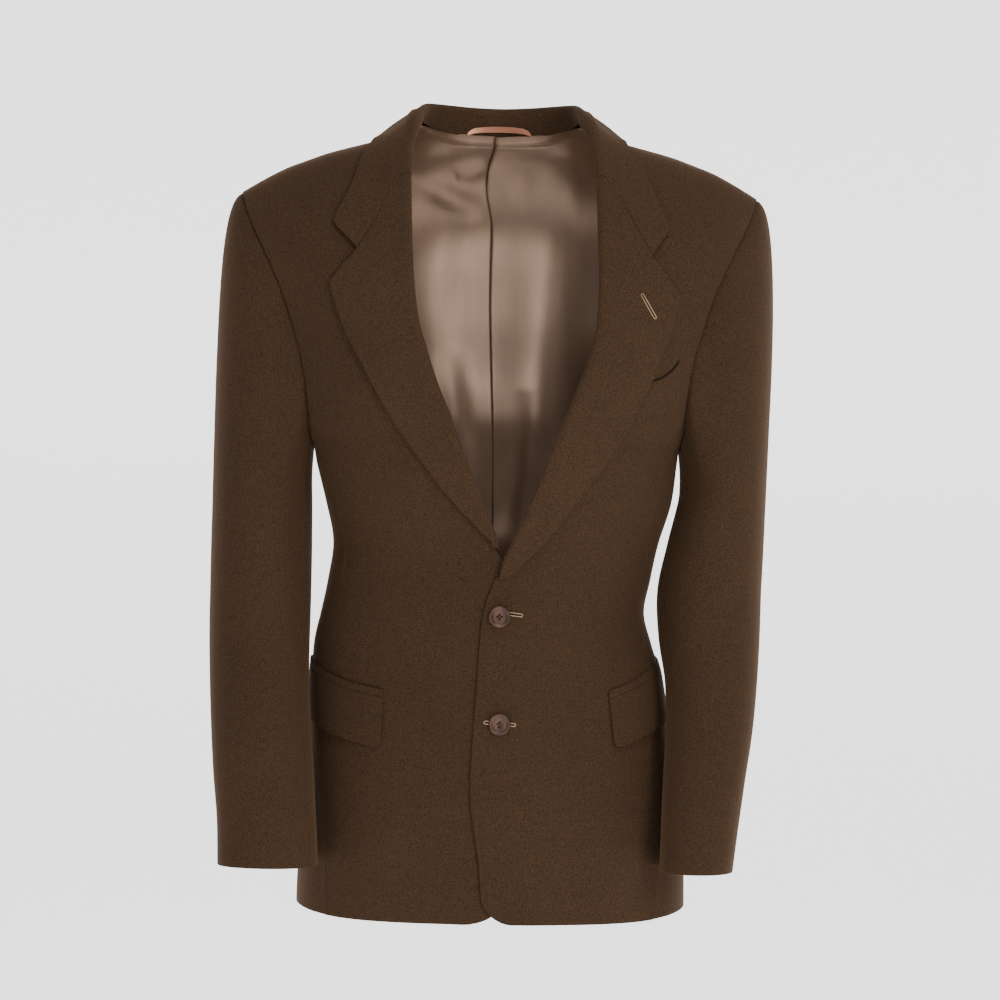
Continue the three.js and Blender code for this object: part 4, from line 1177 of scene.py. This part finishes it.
def closed_wall(outer, inner):
    rows, columns = outer.shape[:2]
    layer = rows * columns
    index = np.arange(layer).reshape(rows, columns)
    faces = []

    def add(a, b, c, d):
        faces.append(np.stack([a, b, c, d], axis=-1).reshape(-1, 4))
    a, b, c, d = index[:-1, :-1], index[:-1, 1:], index[1:, 1:], index[1:, :-1]
    add(a, b, c, d)
    add(a + layer, d + layer, c + layer, b + layer)
    add(index[0, :-1], index[0, :-1] + layer, index[0, 1:] + layer, index[0, 1:])
    add(index[-1, :-1], index[-1, 1:], index[-1, 1:] + layer, index[-1, :-1] + layer)
    add(index[:-1, 0], index[1:, 0], index[1:, 0] + layer, index[:-1, 0] + layer)
    add(index[:-1, -1], index[:-1, -1] + layer, index[1:, -1] + layer, index[1:, -1])
    vertices = np.concatenate([outer.reshape(-1, 3), inner.reshape(-1, 3)])
    faces = np.concatenate(faces)
    corners = vertices[faces]
    volume = np.einsum('ij,ij->', corners[:, 0], np.cross(corners[:, 1], corners[:, 2]))
    volume += np.einsum('ij,ij->', corners[:, 0], np.cross(corners[:, 2], corners[:, 3]))
    return vertices, faces if volume > 0 else faces[:, ::-1]


def add_object(name, data):
    item = bpy.data.objects.new(name, data)
    bpy.context.scene.collection.objects.link(item)
    return item


def smooth_object(name, vertices, faces, material):
    mesh = bpy.data.meshes.new(name)
    mesh.from_pydata(vertices, [], faces)
    mesh.polygons.foreach_set('use_smooth', [True] * len(mesh.polygons))
    mesh.materials.append(material)
    mesh.update()
    return add_object(name, mesh)


def place_mesh(name, vertices, faces, material):
    piece = smooth_object(name, (vertices * MM).tolist(), [list(map(int, f)) for f in faces],
                          material)
    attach(piece, 'root')
    return piece


def row_length(points):
    return float(np.linalg.norm(points[1:] - points[:-1], axis=1).sum())


# A cloth piece for one CAD node: both faces and rolled edges. The size of its flat cut is worked
# out but not kept;
# the cut's width is that of its widest row, from widest_from on down.
def cloth(node, outer, inner, material, edge=0.7, widest_from=0):
    vertices, faces = closed_wall(outer, inner)
    piece = place_mesh(node + '_cloth', vertices, faces, material)
    bevel = piece.modifiers.new('rolled_edge', 'BEVEL')
    bevel.width = edge * MM
    bevel.segments = 2
    bevel.limit_method = 'ANGLE'
    bevel.angle_limit = math.radians(EDGE_ANGLE)
    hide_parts(node)
    middle = (outer + inner) / 2
    width = max(row_length(row) for row in middle[widest_from:]) * CUT_EASE
    length = max(row_length(column) for column in middle.transpose(1, 0, 2)) * CUT_EASE


# Soft folds of a piece: each row is a line on it, seen from the front, with its width and depth.
# A positive depth is a trough and a negative one a ridge; it fades towards the line's ends.
def folded(points, normals, folds):
    shift = np.zeros(points.shape[:2])
    x = points[:, :, 0]
    z = points[:, :, 2]
    for x1, z1, x2, z2, width, depth in folds:
        step_x, step_z = x2 - x1, z2 - z1
        length = step_x ** 2 + step_z ** 2
        along = ((x - x1) * step_x + (z - z1) * step_z) / length
        near = np.clip(along, 0, 1)
        away = np.hypot(x - x1 - near * step_x, z - z1 - near * step_z)
        fade = np.sin(np.pi * np.clip(along * 0.9 + 0.05, 0, 1)) ** 0.7
        shift -= depth * fade * np.exp(-(away / width) ** 2)
    return points + normals * shift[:, :, None]


def panel_cloth(node, points, normals, folds, row_steps=6, column_steps=8, widest_from=0):
    points = refine(points, row_steps, column_steps)
    normals = refine(normals, row_steps, column_steps)
    normals /= np.linalg.norm(normals, axis=2, keepdims=True)
    points = folded(points, normals, folds)
    x, y, z = np.moveaxis(points, 2, 0)
    wave = np.sin(x * RIPPLE_ACROSS[0] + z * RIPPLE_ACROSS[1] + RIPPLE_ACROSS[2])
    wave = wave * np.sin(z * RIPPLE_DOWN[0] - y * RIPPLE_DOWN[1])
    points = points + normals * (RIPPLE * wave)[:, :, None]
    cloth(node, points, points - normals * WOOL, WOOL_CLOTH,
          widest_from=widest_from * row_steps)


back_left = back_panel(1)
back_right = back_panel(-1)
panel_cloth('front_left', *front_panel(1), FRONT_LEFT_FOLDS, 6, 9)
panel_cloth('front_right', *front_panel(-1), FRONT_RIGHT_FOLDS, 6, 9)
panel_cloth('back_left', *back_left, BACK_FOLDS)
panel_cloth('back_right', *back_right, BACK_FOLDS)
for side, name in ((1, 'left'), (-1, 'right')):
    panel_cloth('side_' + name, *side_panel(side), [])
    rows = SLEEVE_LEFT if side > 0 else SLEEVE_RIGHT
    folds = SLEEVE_LEFT_FOLDS if side > 0 else SLEEVE_RIGHT_FOLDS
    for part, (points, normals) in zip(('top_sleeve_', 'under_sleeve_'), sleeve_grids(side, rows)):
        panel_cloth(part + name, points, normals, folds, 7, 6, SLEEVE_ROWS.index(1) + 1)


# Lapels and collar

# Lapel and collar cloth, in the lighter wool copy that paints light on them
def fold_cloth(node, grid, before, after):
    whole = refine(np.array([*before, *grid, *after]), 6, 6)
    normals = grid_normals(whole)
    first = 6 * len(before)
    last = first + 6 * (len(grid) - 1) + 1
    points = whole[first:last]
    normals = normals[first:last]
    half = FOLDED_WOOL / 2
    cloth(node, points + normals * half, points - normals * half, WOOL_FOLD_LIT,
          0.8)


lapel_right_grid = lapel_grid(-1, LAPEL_RIGHT, GORGE_RIGHT)
lapel_left_grid = lapel_grid(1, LAPEL_LEFT, GORGE_LEFT)
collar_right = collar_front_rows(-1, COLLAR_FRONT_RIGHT, GORGE_RIGHT)
collar_left = collar_front_rows(1, COLLAR_FRONT_LEFT, GORGE_LEFT)[::-1]
collar_grid = [
    *collar_right,
    *[back_fold_row(-1, station) for station in COLLAR_BACK],
    *[back_fold_row(1, station) for station in COLLAR_BACK[-2::-1]],
    *collar_left,
]
fold_cloth('lapel_right', lapel_right_grid, [], [collar_right[1]])
fold_cloth('lapel_left', lapel_left_grid, [], [collar_left[-2]])
fold_cloth('collar', collar_grid, [lapel_right_grid[-2]], [lapel_left_grid[-2]])


# Pockets

def pocket_patch(side, angles, tops, height, heights, radius, lift, thick, flare):
    middle = (len(angles) - 1) / 2
    top_points = [body_point(side * angle, top) for angle, top in zip(angles, tops)]

    def layer(add):
        rows = []
        for part in heights:
            row = []
            for k, (angle, top) in enumerate(zip(angles, tops)):
                reach = min(np.linalg.norm(top_points[k] - top_points[0]),
                            np.linalg.norm(top_points[k] - top_points[-1]))
                inside = clamp(radius - reach, 0, radius)
                rise = radius - math.sqrt(radius * radius - inside * inside)
                z = top - part * (height - rise)
                loose = flare * part * (1 - smooth(middle, middle * 1.6, k))
                row.append(body_point(side * angle, z)
                           + body_normal(side * angle, z) * (lift + loose + add))
            rows.append(row)
        return np.array(rows)
    return layer(thick), layer(0)


def pocket(side, rows, flap_name, welt_name):
    top = curve(rows, 1)
    parts = refine_rows(np.array(POCKET_PARTS)[:, None], 4)[:, 0]
    degrees = [lerp(rows[0][0], rows[-1][0], part) for part in parts]
    angles = [math.radians(degree) for degree in degrees]
    tops = [top(degree) for degree in degrees]
    outer, inner = pocket_patch(side, angles, tops, FLAP_HEIGHT, np.linspace(0, 1, 24), FLAP_CORNER,
                                FLAP_LIFT, FLAP_THICK, FLAP_FLARE)
    cloth(flap_name, outer, inner, WOOL_CLOTH)
    above = [height + POCKET_WELT_HEIGHT + GAP for height in tops]
    outer, inner = pocket_patch(side, angles, above, POCKET_WELT_HEIGHT, np.linspace(0, 1, 5), 0.01,
                                POCKET_WELT_LIFT, POCKET_WELT_THICK, 0)
    cloth(welt_name, outer, inner, WOOL_CLOTH)


pocket(-1, FLAP_RIGHT, 'pocket_flap_right', 'pocket_welt_right')
pocket(1, FLAP_LEFT, 'pocket_flap_left', 'pocket_welt_left')


def breast_welt(lift):
    rows = refine_rows(BREAST_WELT, 4)
    return np.array([[on_front(1, lerp(row[0], row[2], down), lerp(row[1], row[3], down), lift)
                      for row in rows] for down in np.linspace(0, 1, 9)])


cloth('breast_welt', breast_welt(BREAST_WELT_LIFT + BREAST_WELT_THICK),
      breast_welt(BREAST_WELT_LIFT), WOOL_CLOTH, 0.5)


# The line of the breast pocket's mouth, just above the welt, where a dark tube paints the shade in
# the opening
def pocket_mouth():
    return [on_front(1, row[0] + MOUTH_SHIFT_X, row[1] + MOUTH_SHIFT_Z, MOUTH_LIFT)
            for row in refine_rows(BREAST_WELT, 4)]


# Back lining with its centre pleat

def lining(side, points, normals, name):
    rows = []
    row_normals = []
    for row, normal in zip(points[LINING_HEM_ROW:], normals[LINING_HEM_ROW:]):
        z = row[0][2]
        angle = math.pi - angle_at(pleat_line(z) + side * GAP / 2, z)
        turned = body_normal(angle, z)
        fold = PLEAT_DEPTH * smooth(PLEAT_END_Z, PLEAT_FULL_Z, z) if side > 0 else 0
        places = [row[column] + normal[column] * LINING_LIFT for column in LINING_COLUMNS]
        directions = [normal[column] for column in LINING_COLUMNS]
        places[0] = body_point(angle, z) + turned * (LINING_LIFT - fold)
        directions[0] = turned
        inside = row[LINING_COLUMNS[-1] - 1] + normal[LINING_COLUMNS[-1] - 1] * LINING_LIFT
        places[-1] = lerp(places[-1], inside, 0.1)
        rows.append(places)
        row_normals.append(directions)
    top = np.array(rows[-1])
    reach = np.array([1 - smooth(NECK_LINING_X, NECK_LINING_END_X, abs(place[0])) for place in top])
    raised = np.outer(reach * LINING_NECK_RISE + LINING_TOP_RISE, [0, 0, 1])
    rows.append(top + raised - np.array(row_normals[-1]) * (reach * LINING_NECK_INWARD)[:, None])
    row_normals.append(row_normals[-1])
    grid = refine(np.array(rows), 6, 14)
    directions = refine(np.array(row_normals), 6, 14)
    directions /= np.linalg.norm(directions, axis=2, keepdims=True)
    grid = folded(grid, directions, LINING_FOLDS)
    cloth(name, grid, grid - directions * LINING, SATIN, 0.3)


lining(1, *back_left, 'lining_back_left')
lining(-1, *back_right, 'lining_back_right')


# Hanger loop

def loop_layer(shift):
    parts = np.linspace(-1, 1, 49)
    top = curve(LOOP, 1)
    bottom = curve(LOOP, 2)
    end = LOOP[-1][0]
    return np.array([[(LOOP_CENTRE_X + part * end, LOOP_Y - LOOP_SAG * part * part + shift,
                       lerp(top(abs(part * end)), bottom(abs(part * end)), down))
                      for part in parts] for down in np.linspace(0, 1, 7)])


cloth('hanger_loop', loop_layer(-LOOP_THICK), loop_layer(0), LOOP_SATIN, 0.3)


# Sewing: small tubes through points

def tube(name, points, radius, material, closed=False, sides=8):
    points = np.array(points, float)
    count = len(points)
    if closed:
        step = np.roll(points, -1, axis=0) - np.roll(points, 1, axis=0)
    else:
        step = np.gradient(points, axis=0)
    step /= np.linalg.norm(step, axis=1, keepdims=True)
    aside = np.cross(step, [0.05, -1, 0.08])
    aside /= np.linalg.norm(aside, axis=1, keepdims=True)
    above = np.cross(step, aside)
    turn = np.arange(sides) / sides * 2 * math.pi
    rings = points[:, None] + radius * (np.cos(turn)[None, :, None] * aside[:, None]
                                        + np.sin(turn)[None, :, None] * above[:, None])
    faces = []
    for i in range(count if closed else count - 1):
        for k in range(sides):
            a, b = i * sides + k, i * sides + (k + 1) % sides
            c = ((i + 1) % count) * sides + (k + 1) % sides
            d = ((i + 1) % count) * sides + k
            faces.append((a, b, c, d))
    if not closed:
        faces.append(tuple(range(sides))[::-1])
        faces.append(tuple(range((count - 1) * sides, count * sides)))
    return place_mesh(name, rings.reshape(-1, 3), faces, material)


# A buttonhole: a worked loop of stitches round its opening, from one point to another, with the
# shade in the opening painted as a dark tube
def buttonhole(name, start, end, lift, half):
    along = unit(end - start)
    aside = np.array([-along[1], along[0]])
    places = []
    for first, last, way in ((start, end, half), (end, start, -half)):
        places += [lerp(first, last, part) + aside * way for part in np.linspace(0, 1, 40)]
        places += [last + (aside * math.cos(turn) + along * math.sin(turn)) * way
                   for turn in np.linspace(0, math.pi, 9)[1:-1]]
    stitches = [on_front(1, *place, lift + STITCH_RISE * (k % 2)) for k, place in enumerate(places)]
    tube(name, stitches, STITCH_RADIUS, PALE_THREAD, closed=True)
    slit_shade = [on_front(1, *lerp(start, end, part), lift - SLIT_DROP)
            for part in np.linspace(0, 1, 9)]
    tube(name + '_slit', slit_shade, SLIT_RADIUS, SLIT_SHADE)


for name, x1, z1, x2, z2, lift, half in BUTTONHOLES:
    buttonhole(name, np.array([x1, z1]), np.array([x2, z2]), lift, half)
# Painted shade: a dark tube in the mouth of the breast pocket
tube('breast_pocket_mouth_shade', pocket_mouth(), MOUTH_RADIUS, SLIT_SHADE)


# Buttons: the solids stay and take the horn finish, with crossed thread through the holes
for name, x, z, turn in BUTTONS:
    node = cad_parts[name]
    node.data.materials.clear()
    node.data.materials.append(HORN)
    node.data.polygons.foreach_set('material_index', [0] * len(node.data.polygons))
    for k in (0, 1):
        angle = math.radians(turn + 45 + 90 * k)
        reach = np.array([math.cos(angle), -math.sin(angle)]) * HOLE_OFFSET
        stitches = []
        for part in np.linspace(-1, 1, 9):
            drop = THREAD_DROP * abs(part) ** 6
            height = BUTTON_LIFT + THREAD_HEIGHT + THREAD_STEP * k - drop
            stitches.append(on_front(1, x + reach[0] * part, z + reach[1] * part, height))
        tube(f'{name}_thread_{k + 1}', stitches, THREAD_RADIUS, THREAD)


# Floor, light and camera

def stage_floor():
    profile = [(FLOOR_FRONT_Y, FLOOR_Z)]
    for turn in np.linspace(0, math.pi / 2, 16):
        profile.append((FLOOR_BACK_Y + FLOOR_CURVE * math.sin(turn),
                        FLOOR_Z + FLOOR_CURVE * (1 - math.cos(turn))))
    profile.append((FLOOR_BACK_Y + FLOOR_CURVE, WALL_TOP_Z))
    vertices = [(x, y, z) for y, z in profile for x in (-FLOOR_SIDE_X, FLOOR_SIDE_X)]
    faces = [(2 * k, 2 * k + 1, 2 * k + 3, 2 * k + 2) for k in range(len(profile) - 1)]
    material = new_material('floor', {
        'Base Color': FLOOR_COLOUR, 'Roughness': 1, 'Specular IOR Level': 0,
        'Emission Color': WHITE, 'Emission Strength': FLOOR_GLOW})[0]
    smooth_object('floor', vertices, faces, material)


def area_light(name, place, target, size, power):
    light = bpy.data.lights.new(name, 'AREA')
    light.shape = 'RECTANGLE'
    light.size, light.size_y = size
    light.energy = power
    lamp = add_object(name, light)
    lamp.location = place
    lamp.rotation_euler = (Vector(target) - Vector(place)).to_track_quat('-Z', 'Y').to_euler()


stage_floor()
for name, place, target, size, power in LIGHTS:
    area_light(name, place, target, size, power)

world = bpy.data.worlds.new('studio')
bpy.context.scene.world = world
world.use_nodes = True
background = world.node_tree.nodes['Background']
background.inputs['Color'].default_value = WHITE
background.inputs['Strength'].default_value = WORLD_LIGHT

camera_data = bpy.data.cameras.new('camera')
camera_data.sensor_width = 36
camera_data.lens = CAMERA_LENS
camera_data.clip_start = 0.1
camera_data.clip_end = 50
camera = add_object('camera', camera_data)
camera.location = CAMERA_PLACE
camera.rotation_mode = 'QUATERNION'
roll = Quaternion(Vector((0, 1, 0)), math.radians(-CAMERA_ROLL))
level_view = Quaternion(Vector((1, 0, 0)), math.radians(90))
camera.rotation_quaternion = roll @ level_view
bpy.context.scene.camera = camera
